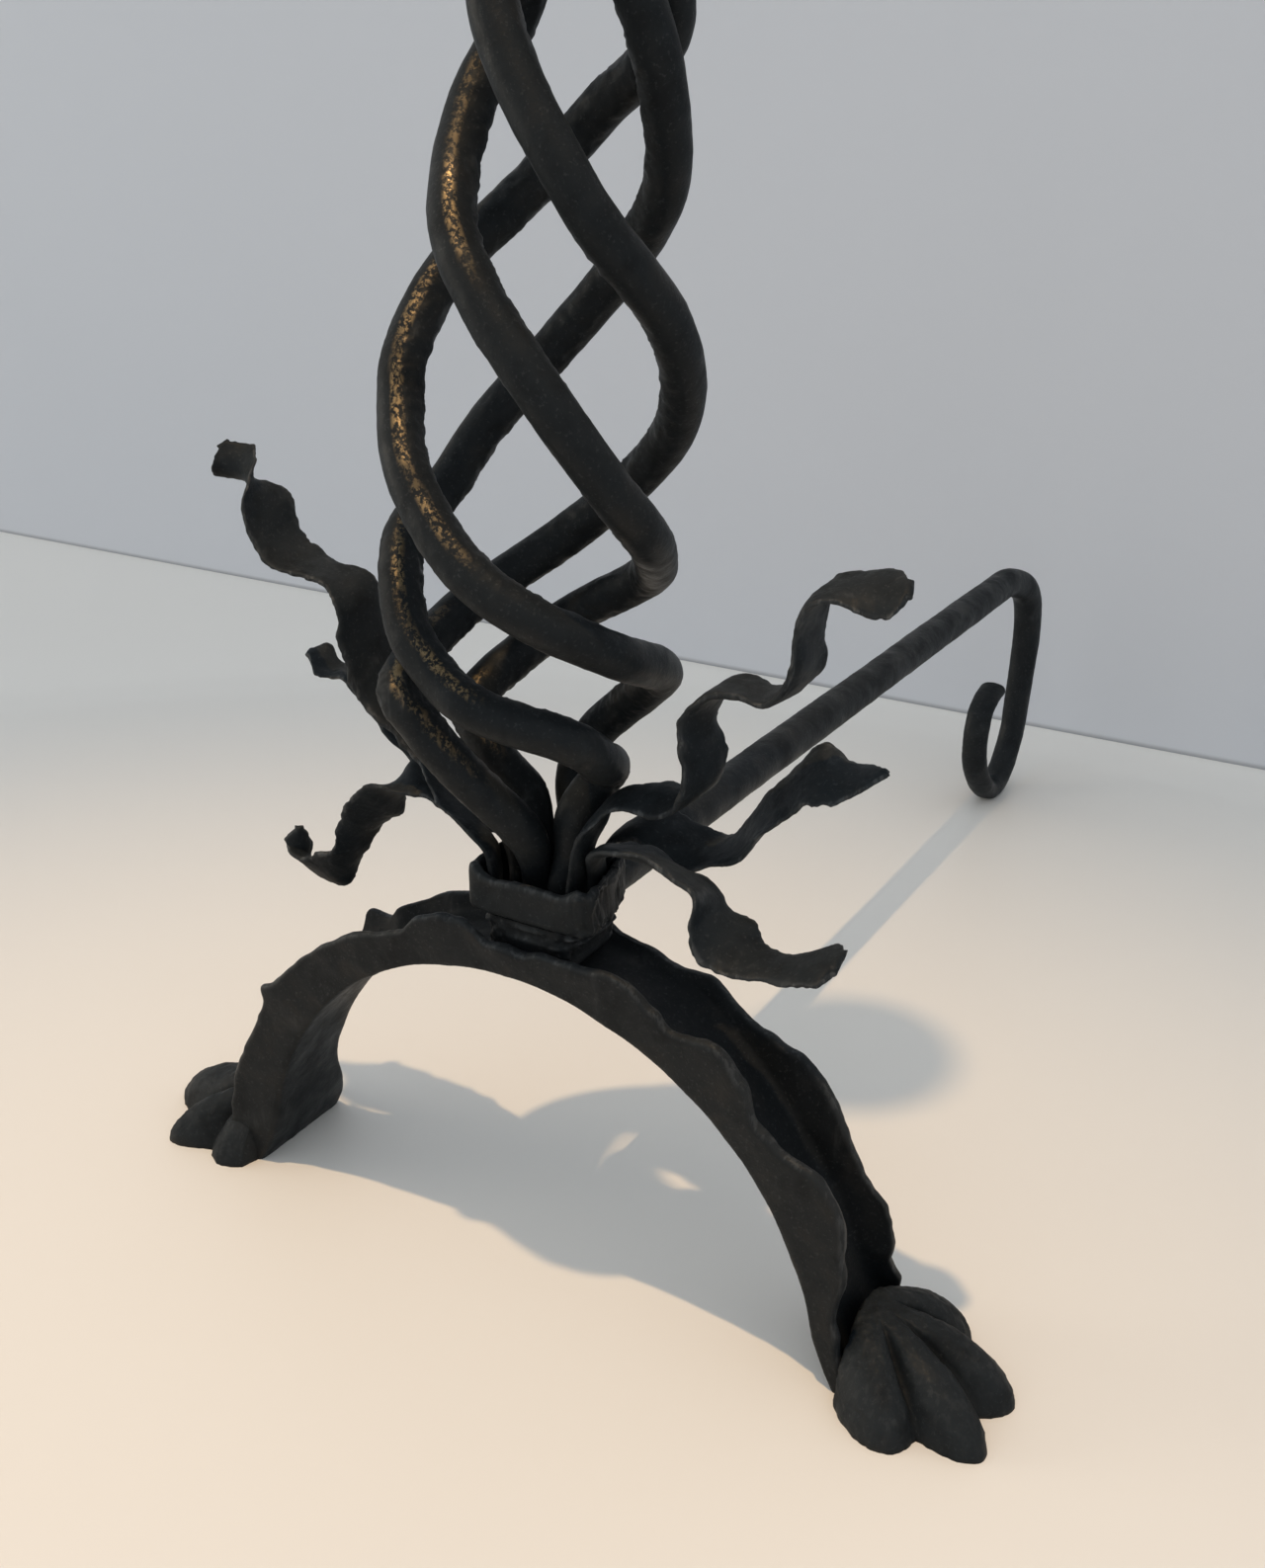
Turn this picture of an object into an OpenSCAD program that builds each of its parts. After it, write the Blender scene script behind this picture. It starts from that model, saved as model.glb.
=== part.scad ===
/* [Front arch] */
// Distance between the inner corners of the two legs on the floor
arch_span = 238; // [200:2:300]
// Height of the underside of the arch at its crown
arch_rise = 114; // [90:2:140]
// Front to back width of the channel bar at the crown
arch_depth = 41; // [38:1:50]
// How much narrower the bar is half way down each leg
leg_waist = 7; // [0:0.5:10]
// How much wider than the crown the bar is where it stands on the floor
foot_spread = 6; // [0:1:12]
// Thickness of the channel's web and of its two flanges
arch_plate = 4.5; // [3:0.5:6]
// Height of the flanges over the underside, where their hammered edges are highest
flange_height = 22; // [14:0.5:26]
// How far the flange edges lean outwards
flange_lean = 2.5; // [0:0.5:4]
// How far each leg flares out at the floor
leg_flare = 7; // [0:1:12]
// How far the crown sits to the left of the middle, as forged
crown_shift = 5; // [-8:1:8]

/* [Paws] */
// Height of the paws where they meet the leg
paw_height = 24; // [16:1:30]
// Width of one toe
toe_width = 27; // [20:1:30]
// How far the outer toe of the right paw reaches past the leg
right_reach = 52; // [40:1:64]
// How far the outer toe of the left paw reaches past the leg
left_reach = 56; // [44:1:70]

/* [Seat of the column] */
// Width of the collar across its front
collar_width = 48; // [44:1:60]
// Front to back depth of the collar
collar_depth = 37; // [36:1:46]
// Height of the collar band at its front
collar_height = 14; // [10:1:24]
// How much higher the collar's rim is at its sides
rim_rise = 3; // [0:0.5:6]
// Thickness of the collar band
collar_wall = 3; // [2:0.5:4]
// Width of the core block that fills the channel
core_width = 34; // [30:1:38]
// Height of the core block's part below the collar
core_height = 15; // [13:0.5:20]
// Height of the core block's upper step, inside the collar
core_step = 3.5; // [3:0.5:8]
// Diameter of the tenon that goes down through the arch
tenon_diameter = 12; // [8:1:16]
// Outer diameter of the washer under the arch
washer_diameter = 24; // [20:1:30]
// Thickness of the washer
washer_thickness = 2.5; // [1.5:0.5:4]
// Thickness of the tenon's peened head
peen_thickness = 3; // [2:0.5:5]
// Clearance between a tenon and its hole, on the radius
tenon_clearance = 0.15; // [0.1:0.05:0.3]

/* [Basket] */
// Diameter of the round bars
bar_diameter = 14; // [10:0.5:15]
// Height of the basket, from the core block to the bars' top ends
basket_height = 345; // [300:5:420]
// Largest radius of the bars' centre lines
basket_radius = 42; // [36:1:56]
// Diameter to which the bars are drawn out at the foot of the basket
bar_foot_diameter = 10; // [8:0.5:10.5]
// Diameter to which the bars are drawn out at the top
bar_top_diameter = 11; // [9:0.5:12]
// Gap between neighbouring bars where they are bunched
bunch_gap = 0.3; // [0.2:0.1:1]
// How far the belly of the basket stands off its axis
basket_sway = 6; // [0:1:8]

/* [Leaves] */
// Width of the upper leaves
upper_leaf_width = 21; // [16:1:26]
// Width of the middle leaves
middle_leaf_width = 20; // [14:1:24]
// Width of the lower leaves
lower_leaf_width = 19; // [14:1:24]
// Thickness of the leaves
leaf_thickness = 3.4; // [2.4:0.2:3.8]
// Size of the spray of leaves as a share of its drawn size
leaf_spread = 1; // [0.8:0.05:1.2]

/* [Billet bar] */
// Diameter of the bar that carries the logs
billet_diameter = 16; // [12:1:20]
// Height of the billet bar's centre line above the crown of the arch
billet_rise = 11.5; // [9:0.5:20]
// Distance from the column's axis to the rear leg
billet_length = 520; // [420:5:640]
// How far the rear leg leans to the right at its foot
leg_lean = 5; // [-10:1:10]
// Width of the scroll that is the rear foot, front to back
scroll_width = 77; // [70:2:120]
// Height of the scroll's curled end
scroll_height = 72; // [50:2:90]

/* [Finial] */
// Height of the ring that binds the bars' top ends
ring_height = 16; // [10:1:24]
// Wall of the ring
ring_wall = 3.5; // [2.5:0.5:5]
// Diameter of the finial's ball
ball_diameter = 58; // [40:2:70]
// Diameter of the finial's stem
stem_diameter = 18; // [12:1:22]
// Height of the finial and its stem above the bars
finial_height = 298; // [200:2:340]

/* [Hidden] */
$fn = 64;

iron = "#26241f";
rubbed = "#37332b";

// Front face of the channel bar; the column stands on the axis behind it
arch_front = -25;
// Half the leg spread before the flare
arch_half = arch_span / 2 - leg_flare;
// Height over which the legs flare out
flare_height = 25;
// Top of the web at the crown, where the core block stands
seat_z = arch_rise + arch_plate;
billet_height = seat_z + billet_rise;
// Bottom of the collar band, and top of the core block where the basket starts
collar_z = seat_z + core_height;
foot_z = collar_z + core_step;
top_z = foot_z + basket_height;
// Front edge of the collar, and its back edge
collar_front = arch_front + 4;
collar_back = collar_front + collar_depth;
// The core block fills the channel from flange to flange
core_front = arch_front + arch_plate + 0.3;
core_back = arch_front + arch_depth - arch_plate - 0.3;
// The bars stand in a square bunch, each touching its neighbours but for the gap
foot_bunch = (bar_foot_diameter + bunch_gap) / sqrt(2);
top_bunch = (bar_top_diameter + bunch_gap) / sqrt(2);
// The billet bar starts behind the collar
billet_r = billet_diameter / 2;
billet_start = max(collar_back, core_back) + 0.4;
// The rear leg bulges back below its bend, then draws in to the scroll
leg_back = billet_length + 2;
scroll_back = billet_length - 2;
scroll_front = scroll_back - scroll_width;
// Middle of the whole footprint
rear_y = leg_back + billet_r - 0.2;
basket_front = basket_radius + bar_diameter / 2 + basket_sway / 2;
mid_x = (right_reach - left_reach) / 2;
mid_y = (rear_y - basket_front) / 2;

// --- Curves and skins ---------------------------------------------------

function unit(v) = v / norm(v);
function mix(a, b, t) = a + (b - a) * t;
function clamp01(t) = min(1, max(0, t));
function ease(t) = let (c = clamp01(t)) c * c * (3 - 2 * c);
function sgn_pow(v, e) = sign(v) * pow(abs(v), e);

// Point of the smooth curve through the list p, from 0 to its last index
function along(p, t) =
  let (last = len(p) - 1, i = min(floor(t), last - 1), f = t - i)
  let (a = p[max(i - 1, 0)], b = p[i], c = p[i + 1], d = p[min(i + 2, last)])
  0.5 * (2 * b + (c - a) * f + (2 * a - 5 * b + 4 * c - d) * f * f + (3 * b - a - 3 * c + d) * f * f * f);

// The same curve as a list, with a number of steps between neighbours
function smooth(p, steps) = [for (k = [0 : (len(p) - 1) * steps]) along(p, k / steps)];

function tangent(p, i) = unit(p[min(i + 1, len(p) - 1)] - p[max(i - 1, 0)]);

// A direction square to the tangent t and as near as possible to v
function square_to(v, t) = unit(v - (v * t) * t);

// Closed skin over a list of rings that run clockwise as seen from the last ring
module skin(rings) {
  n = len(rings[0]);
  m = len(rings);
  sides = [
    for (j = [0 : m - 2])
      for (i = [0 : n - 1])
        let (k = (i + 1) % n, a = j * n + i, b = j * n + k, c = (j + 1) * n + k, d = (j + 1) * n + i)
          each [[a, b, c], [a, c, d]]
  ];
  caps = [
    [for (i = [n - 1 : -1 : 0]) i],
    [for (i = [0 : n - 1]) (m - 1) * n + i]
  ];
  polyhedron(points = [for (r = rings) each r], faces = concat(sides, caps), convexity = 6);
}

// Skin over rings that close on themselves, as round a collar
module closed_skin(rings) {
  n = len(rings[0]);
  m = len(rings);
  faces = [
    for (j = [0 : m - 1])
      for (i = [0 : n - 1])
        let (k = (i + 1) % n, l = (j + 1) % m, a = j * n + i, b = j * n + k, c = l * n + k, d = l * n + i)
          each [[a, b, c], [a, c, d]]
  ];
  polyhedron(points = [for (r = rings) each r], faces = faces, convexity = 6);
}

// Puts the origin on the floor under the middle of the whole piece
module stand() {
  translate([-mid_x, -mid_y, 0])
    children();
}

// --- Front arch -----------------------------------------------------------

// Inner edge of the arch at an angle from the crown: half an ellipse, with flared feet
function arch_x(a) =
  arch_half * sin(a) - crown_shift * pow(cos(a), 2)
  + sign(a) * leg_flare * pow(clamp01(1 - arch_z(a) / flare_height), 2);
function arch_z(a) = arch_rise * cos(a);
function arch_normal(a) = unit([arch_rise * sin(a), arch_half * cos(a)]);

// The hammered edges of the flanges as crests and troughs: angle from the crown,
// and height as a percentage of the flange height
front_edge = [
  [-90, 84], [-74, 92], [-63, 82], [-53, 90], [-30, 80], [-24, 66], [-20, 65], [-15, 88],
  [-11, 92], [-8, 87], [-3, 56], [3, 53], [9, 68], [20, 98], [25, 82], [28, 72], [35, 110],
  [40, 96], [45, 70], [49, 78], [56, 116], [61, 112], [68, 84], [78, 44], [90, 32]
];
rear_edge = [
  [-90, 70], [-60, 68], [-50, 68], [-42, 77], [-28, 60], [-6, 42], [6, 42], [14, 30], [20, 34],
  [28, 54], [34, 48], [46, 88], [62, 74], [68, 88], [82, 58], [90, 32]
];

// Value between the crests and troughs of a list, at an angle
function between(p, a, i = 0) =
  a <= p[i + 1][0] || i == len(p) - 2
    ? mix(p[i][1], p[i + 1][1], ease((a - p[i][0]) / (p[i + 1][0] - p[i][0])))
    : between(p, a, i + 1);

function flange_rise(edge, a) = max(arch_plate + 2.6, between(edge, a) / 100 * flange_height);

// Depth of the bar: narrower half way down the legs, and wider on the floor
function arch_width(a) =
  arch_depth - leg_waist * ease((abs(a) - 20) / 35) + (leg_waist + foot_spread) * ease((abs(a) - 68) / 22);

// U section of the bar: distance above the web's underside, and y
function arch_section(a) =
  let (u = arch_front, v = arch_front + arch_width(a), t = arch_plate)
  let (f = flange_rise(front_edge, a), r = flange_rise(rear_edge, a))
  let (fo = flange_lean * f / flange_height, ro = flange_lean * r / flange_height)
  [
    [0, u + 1], [1, u], [f - 1, u - fo], [f, u + 1 - fo], [f, u + t - fo - 1], [t + 2, u + t], [t, u + t + 2],
    [t, v - t - 2], [t + 2, v - t], [r, v - t + ro + 1], [r, v + ro - 1], [r - 1, v + ro], [1, v], [0, v - 1]
  ];

function arch_ring(a) =
  let (n = arch_normal(a))
  [for (q = arch_section(a)) [arch_x(a) + n[0] * q[0], q[1], arch_z(a) + n[1] * q[0]]];

module arch() {
  color(iron) stand() difference() {
    skin([for (a = [-90 : 2.5 : 90]) arch_ring(a)]);
    // hole for the tenon of the core block
    translate([0, 0, arch_rise - 10])
      cylinder(d = tenon_diameter + 2 * tenon_clearance, h = 20);
    // saddle for the billet bar and its tongue in the rear flange
    translate([0, core_back - 2, billet_height])
      rotate([-90, 0, 0])
        cylinder(r = billet_r + 0.3, h = 20);
    translate([-tongue_width / 2 - 0.2, core_back - 2, tongue_z - 0.2])
      cube([tongue_width + 0.4, 20, billet_height - tongue_z]);
  }
}

// --- Paws -----------------------------------------------------------------

// Toes as ellipses round the heel: angle from straight out, share of the reach,
// and share of the toe width
right_toes = [[48, 0.78, 1], [4, 1, 1.05], [-26, 1.06, 0.95], [-56, 0.84, 1.05]];
left_toes = [[34, 0.86, 0.95], [4, 1, 1.2], [-36, 0.84, 0.75], [-68, 0.58, 0.95]];
heel_radius = 15;
heel_y = -5;

// Distance from the heel to the far side of a toe's ellipse, in a direction
function toe_edge(toe, reach, dir) =
  let (a = toe[1] * reach * 0.53, c = toe[1] * reach - a, b = toe[2] * toe_width / 2, d = dir - toe[0])
  (c * b * b * cos(d) + a * b * sqrt(pow(b * cos(d), 2) + (a * a - c * c) * pow(sin(d), 2)))
  / (pow(b * cos(d), 2) + pow(a * sin(d), 2));

// One contour of the paw, from the floor (s = 1) up to its top (s = 0)
function paw_ring(toes, reach, s) =
  [
    for (dir = [180 : -6 : -174])
      let (edge = max([for (toe = toes) toe_edge(toe, reach, dir)]), r = max(edge, heel_radius) * s)
        [r * cos(dir) * (cos(dir) < 0 ? 0.25 : 1), heel_y + r * sin(dir), paw_height * pow(1 - pow(s, 2.4), 0.75)]
  ];

module paw(toes, reach) {
  translate([arch_span / 2 + 3, 0, 0])
    skin([for (s = [1, 0.985, 0.95, 0.89, 0.8, 0.68, 0.54, 0.38, 0.2, 0.06]) paw_ring(toes, reach, s)]);
}

module right_paw() {
  color(rubbed) stand() paw(right_toes, right_reach);
}

module left_paw() {
  color(rubbed) stand() mirror([1, 0, 0]) paw(left_toes, left_reach);
}

// --- Seat of the column -----------------------------------------------------

// Tongue of the billet bar and its slot
tongue_width = 10;
tongue_height = 7;
tongue_length = 12;
tongue_z = min(billet_height - 6, collar_z - tongue_height - 0.8);

// The block stands on the web between the channel's fillets, and its upper step
// fits inside the collar
step_front = collar_front + collar_wall + 0.5;
step_back = core_back - 1;
// The flat washer touches the curved underside at its outer edge
washer_reach = washer_diameter / 2 + abs(crown_shift);
washer_z = arch_rise * sqrt(1 - pow(washer_reach / arch_half, 2)) - washer_thickness - 0.1;
module core_block() {
  color(iron) stand() difference() {
    union() {
      translate([-core_width / 2, core_front, seat_z + 2.2])
        cube([core_width, core_back - core_front, collar_z - seat_z - 2.2]);
      translate([-core_width / 2 + 3, core_front + 2.2, seat_z + 0.05])
        cube([core_width - 6, core_back - core_front - 4.4, 4]);
      translate([0, 0, seat_z + 4])
        linear_extrude(foot_z - seat_z - 4)
          polygon([
            [-core_width / 2, step_front], [core_width / 2, step_front],
            [core_width / 2 - 4, step_back], [4 - core_width / 2, step_back]
          ]);
      translate([0, 0, washer_z - 1])
        cylinder(d = tenon_diameter, h = seat_z - washer_z + 3);
      translate([0, 0, washer_z - peen_thickness])
        cylinder(d1 = tenon_diameter + 2, d2 = tenon_diameter + 6, h = peen_thickness);
    }
    translate([-tongue_width / 2 - 0.15, core_back - tongue_length - 0.5, tongue_z - 0.15])
      cube([tongue_width + 0.3, tongue_length + 1, tongue_height + 0.3]);
  }
}

module tenon_washer() {
  color(iron) stand() translate([0, 0, washer_z])
    difference() {
      cylinder(d = washer_diameter, h = washer_thickness);
      translate([0, 0, -1])
        cylinder(d = tenon_diameter + 2 * tenon_clearance, h = washer_thickness + 2);
    }
}

// Plan of the collar: a rounded square that narrows to the back
function collar_point(b, inset) =
  let (hx = collar_width / 2 - inset, hy = collar_depth / 2 - inset)
  let (x = hx * sgn_pow(cos(b), 0.24), y = hy * sgn_pow(sin(b), 0.24))
  let (back = clamp01((y / hy + 0.6) / 1.6))
  [x * (1 - 0.3 * back * back), y + (collar_front + collar_back) / 2];

function collar_ring(b) =
  let (o = collar_point(b, 0), i = collar_point(b, collar_wall))
  let (top = collar_z + collar_height + rim_rise * pow(cos(b), 4) + sin(b * 5 + 40), bottom = collar_z + 0.3)
  [[i[0], i[1], bottom], [o[0], o[1], bottom], [o[0], o[1], top - 0.6], [i[0], i[1], top]];

module collar() {
  color(iron) stand() closed_skin([for (b = [0 : 7.5 : 352.5]) collar_ring(b)]);
}

// --- Basket -----------------------------------------------------------------

// Each bar: height as a percentage of the basket, turn in degrees, and radius
// as a percentage of the basket's radius, from the foot to the top
bar_1 = [
  [6, 252, 28], [9, 250, 44], [13, 236, 70], [18, 227, 99], [22, 218, 109], [26, 164, 94],
  [32, 112, 99], [39, 73, 100], [46, 39, 99], [54, 5, 89], [64, -49, 75], [77, -107, 56],
  [90, -152, 33]
];
bar_2 = [
  [6, 165, 26], [9, 163, 38], [12, 179, 52], [15, 187, 62], [18, 178, 73], [21.5, 134, 83],
  [25, 105, 90], [29.5, 68, 100], [33.3, 29, 84], [37.4, -12, 101], [42, -32, 101], [49, -58, 98],
  [56, -89, 88], [62, -122, 77], [70, -170, 66], [78, -208, 56], [90, -246, 35]
];
bar_3 = [
  [6, 446, 28], [10, 462, 45], [14, 450, 60], [17, 429, 67], [20, 406, 76], [23, 385, 85],
  [27, 335, 92], [31, 299, 100], [35, 270, 100], [41, 241, 101], [46, 220, 100], [51, 204, 99],
  [57, 178, 90], [64, 135, 80], [70, 101, 75], [77, 46, 74], [90, 12, 42]
];
bar_4 = [
  [5, 340, 18], [9, 358, 19.5], [13, 386, 40], [16, 336, 63], [19, 313, 77], [21.5, 267, 84],
  [24, 240, 91], [28, 224, 102], [34, 199, 103], [37.5, 168, 100], [43, 146, 100], [50, 118, 96],
  [57, 89, 88], [64, 52, 77], [71, 27, 68], [78, 2, 57], [90, -48, 35]
];
bars = [bar_1, bar_2, bar_3, bar_4];

// Direction in which the belly stands off the axis
sway_turn = 209;

function bar_station(q) =
  let (h = q[0] / 100, r = q[2] / 100 * basket_radius)
  let (sway = basket_sway * pow(sin(180 * clamp01((h - 0.04) / 0.66)), 2))
  [r * cos(q[1]) + sway * cos(sway_turn), r * sin(q[1]) + sway * sin(sway_turn), foot_z + h * basket_height];

// The ends stand upright in their bunches, a quarter turn apart
function bunched(n, radius, turn, z) = [radius * cos(turn - 90 * n), radius * sin(turn - 90 * n), z];

function bar_path(n) = concat(
  [bunched(n, foot_bunch, 225, foot_z), bunched(n, foot_bunch, 225, foot_z + 6)],
  [for (q = bars[n]) bar_station(q)],
  [bunched(n, top_bunch, -185, top_z - ring_height), bunched(n, top_bunch, -185, top_z)]
);

// The bars are drawn out near both ends
function bar_radius(z) =
  mix(bar_foot_diameter, bar_diameter, ease((z - foot_z - 6) / 22)) / 2
  - (bar_diameter - bar_top_diameter) / 2 * ease((z - top_z + ring_height + 30) / 30);

bar_sides = 10;
module basket_bar(n) {
  p = smooth(bar_path(n), 4);
  color(iron) stand() skin([
    for (i = [0 : len(p) - 1])
      let (t = i < 2 || i > len(p) - 3 ? [0, 0, 1] : tangent(p, i))
      let (u = square_to([cos(sway_turn), sin(sway_turn), 0.1], t), v = cross(t, u), r = bar_radius(p[i][2]))
        [for (k = [0 : bar_sides - 1]) p[i] + r * (u * cos(360 * k / bar_sides) - v * sin(360 * k / bar_sides))]
  ]);
}

module basket_bar_1() { basket_bar(0); }
module basket_bar_2() { basket_bar(1); }
module basket_bar_3() { basket_bar(2); }
module basket_bar_4() { basket_bar(3); }

// --- Leaves -------------------------------------------------------------------

// Stations of a leaf from its root to its tip: distance out from the axis, y,
// height over the core block, plan angle and tilt of its width, and share of the width
right_upper = [
  [13.6, -10.6, 0.3, 90, 0, 0.56], [13.8, -10.6, 12, 90, 0, 0.56], [17.5, -9.5, 29, 90, 0, 0.8],
  [23, -4, 39.5, 95, 5, 1], [31, -2.5, 42.5, 95, 5, 1], [40, -1, 43, 95, 12, 0.92],
  [48.5, 0, 45.5, 85, 5, 0.9], [52.5, 0, 53.5, 76, 4, 1], [50.5, 0, 70.5, 80, -5, 0.95],
  [55.5, 0, 81.5, 90, 0, 0.92], [64.5, 0, 83.5, 95, 0, 0.95], [73.5, -1, 83.5, 99, 0, 1],
  [80.5, -1, 87.5, 95, -12, 1], [84.5, -1, 94.5, 90, -15, 0.96], [84.5, -1, 104.5, 85, -14, 1],
  [86.5, -2, 114.5, 98, -6, 0.92], [91.5, -2, 118.5, 118, 2, 0.85], [98.5, -2, 119.5, 124, 16, 1.02],
  [105.5, -2, 120.5, 119, 25, 1.06], [113.5, -2, 122.5, 108, 25, 0.9]
];
right_middle = [
  [12.4, 6, 0.3, 90, 0, 0.46], [12.6, 6, 9, 90, 0, 0.48], [17.5, 9.5, 21, 92, 4, 0.62],
  [29, 11, 27, 88, 18, 1], [44, 11, 21.5, 86, 20, 1.05], [54, 11, 23.5, 95, 12, 1],
  [62, 11, 28.5, 106, 10, 1.05], [67, 11, 36.5, 118, 6, 1.02], [74, 11, 44.5, 119, 8, 1],
  [80, 11, 52.5, 115, 18, 1.1], [87, 10, 57.5, 110, 26, 1.25], [95, 10, 58.5, 108, 15, 1.02],
  [102, 10, 60.5, 104, 4, 0.85], [107, 10, 62.5, 104, 4, 0.4]
];
right_lower = [
  [17.5, -4.4, 0.3, 88, 0, 0.5], [17.6, -4.6, 13, 90, -3, 0.52], [20.5, -9.5, 22.5, 102, -14, 0.84],
  [29.5, -13, 27.5, 109, -19, 1.02], [41.5, -14, 28.5, 107, -16, 1], [51.5, -14, 25.5, 108, -15, 1],
  [60.5, -14, 21.5, 98, -14, 1.08], [64.5, -15, 14.5, 78, -5, 1.15], [70.5, -16, 8.5, 71, 12, 1.3],
  [77.5, -16, 4.5, 80, 10, 1.15], [84.5, -16, 4.5, 98, 2, 0.98], [91.5, -17, 5.5, 105, 0, 0.92],
  [98.5, -18, 8.5, 108, 4, 1.08], [107.5, -18, 12.5, 92, 14, 1.35]
];
left_upper = [
  [17.2, -11.6, 0.3, 108, 0, 0.54], [17.4, -11.6, 10, 108, 0, 0.54], [19.6, -11.8, 17, 106, 0, 0.5],
  [30, -9.4, 22.5, 104, 0, 0.6], [40, -6, 28, 102, 2, 0.78], [47, -1.5, 34, 100, 5, 0.92],
  [54, 4, 41, 95, 10, 1.05], [65.5, 2.5, 52.5, 88, 10, 1.1], [73.5, 1, 63.5, 85, 10, 1.14],
  [77, 0, 78, 86, 14, 1.14], [79, -1, 88, 91, 15, 1.1], [84, -1, 93, 102, 14, 1],
  [91, -1, 96, 117, 7, 1], [97, -1, 97, 115, 10, 0.97], [105, -1, 99, 109, 18, 1.12],
  [112, -1, 105, 100, 20, 1.18], [116, -1, 113, 89, 19, 1.1], [119, -2, 119.5, 101, 8, 1.04],
  [122, -2, 123.5, 135, -14, 0.72], [126, -2, 127, 190, -30, 0.76], [129.5, -2, 130.5, 230, -30, 0.84],
  [132.5, -2, 133.5, 238, -32, 0.5]
];
left_middle = [
  [12.8, 6.2, 0.3, 90, 0, 0.42], [13.3, 6.2, 7, 90, 0, 0.42], [15.4, 5.8, 13.5, 92, 0, 0.38],
  [20.5, 8.8, 18.5, 90, 0, 0.48], [28, 13, 20, 92, 0, 0.72], [37, 16, 14.5, 93, 0, 0.78],
  [47, 18, 10.5, 94, 0, 0.8], [72, 20, 30.5, 96, 8, 0.85], [92, 19, 47.5, 102, 12, 0.8],
  [101, 19, 52.5, 116, -2, 0.75], [107, 19, 52.5, 112, 8, 0.75], [112, 18, 55.5, 110, 22, 0.85],
  [117, 18, 57.5, 112, 6, 0.6]
];
left_lower = [
  [13.3, -3.6, 0.3, 92, 0, 0.48], [13.5, -3.6, 8, 92, 0, 0.48], [16.3, -2.8, 14.5, 92, 0, 0.42],
  [22, -0.5, 18, 92, 0, 0.42], [31, 0.3, 17.5, 94, 0, 0.56], [42, 2, 22.5, 100, 8, 0.8],
  [54.5, 1, 27.5, 118, 18, 0.94], [60.5, 0, 28, 118, 18, 1], [69, 0, 21, 92, -24, 1.15],
  [74, 0, 14.5, 72, -30, 1.25], [78, 0, 10, 71, -26, 1.15], [85, 0, 1, 75, -26, 0.9],
  [90.5, 0, -10, 78, -34, 0.86], [98, 0, -17, 74, -48, 1.1], [106, 0, -18, 80, -50, 0.9],
  [111.5, 0, -14, 64, -38, 0.68], [112.5, 0, -9, 44, -15, 0.6], [112, 0, -4.5, 38, 0, 0.38]
];

// A station's centre: the root stays in the collar, and the rest spreads with the spray
function leaf_centre(q, side) =
  let (s = mix(1, leaf_spread, ease((abs(q[0]) - 19) / 20)))
  [side * q[0] * s, q[1], foot_z + q[2] * s];

function leaf_across(turn, tilt) = [cos(tilt) * cos(turn), cos(tilt) * sin(turn), sin(tilt)];

// Section of the flat bar, thinned at its two edges
leaf_edge = 0.55;
module leaf(stations, side, width) {
  steps = 2;
  c = smooth([for (q = stations) leaf_centre(q, side)], steps);
  s = smooth([for (q = stations) concat(leaf_across(q[3], q[4]), [q[5]])], steps);
  color(rubbed) stand() skin([
    for (i = [0 : len(c) - 1])
      let (a = unit([s[i][0], s[i][1], s[i][2]]), n = unit(cross(tangent(c, i), a)))
      let (w = a * s[i][3] * width / 2, t = n * leaf_thickness / 2)
        [
          c[i] - w + t * leaf_edge, c[i] - w * 0.8 + t, c[i] + w * 0.8 + t, c[i] + w + t * leaf_edge,
          c[i] + w - t * leaf_edge, c[i] + w * 0.8 - t, c[i] - w * 0.8 - t, c[i] - w - t * leaf_edge
        ]
  ]);
}

module left_upper_leaf() { leaf(left_upper, -1, upper_leaf_width); }
module left_middle_leaf() { leaf(left_middle, -1, middle_leaf_width); }
module left_lower_leaf() { leaf(left_lower, -1, lower_leaf_width); }
module right_upper_leaf() { leaf(right_upper, 1, upper_leaf_width); }
module right_middle_leaf() { leaf(right_middle, 1, middle_leaf_width); }
module right_lower_leaf() { leaf(right_lower, 1, lower_leaf_width); }

// --- Billet bar -----------------------------------------------------------------

// Centre line of the forged rear end in its own plane: bend, leg and scroll
bend_start = billet_length - 60;
billet_path = [
  [bend_start - 4, billet_height], [bend_start + 8, billet_height], [billet_length - 34, billet_height],
  [billet_length - 10, billet_height - 9], [billet_length, billet_height - 26],
  [leg_back, billet_height * 0.6], [scroll_back, billet_height * 0.38],
  [scroll_back - 4, billet_height * 0.22], [scroll_back - 17, billet_r + 4],
  [mix(scroll_front, scroll_back, 0.58), billet_r * 0.66], [mix(scroll_front, scroll_back, 0.34), billet_r + 2],
  [scroll_front + 6, scroll_height * 0.4], [scroll_front, scroll_height * 0.64],
  [scroll_front + 3, scroll_height * 0.86], [scroll_front + 12, scroll_height - 3],
  [scroll_front + 24, scroll_height]
];
billet_sides = 16;

// The rear end starts a hair inside the round bar, then thins and flattens a little
function billet_half(t) = (billet_r - 0.25) * mix(1, 0.5, ease((t - 0.3) / 0.7));
function billet_side(t) = (billet_r - 0.25) * mix(1, 0.9, ease((t - 0.2) / 0.3));

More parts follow.
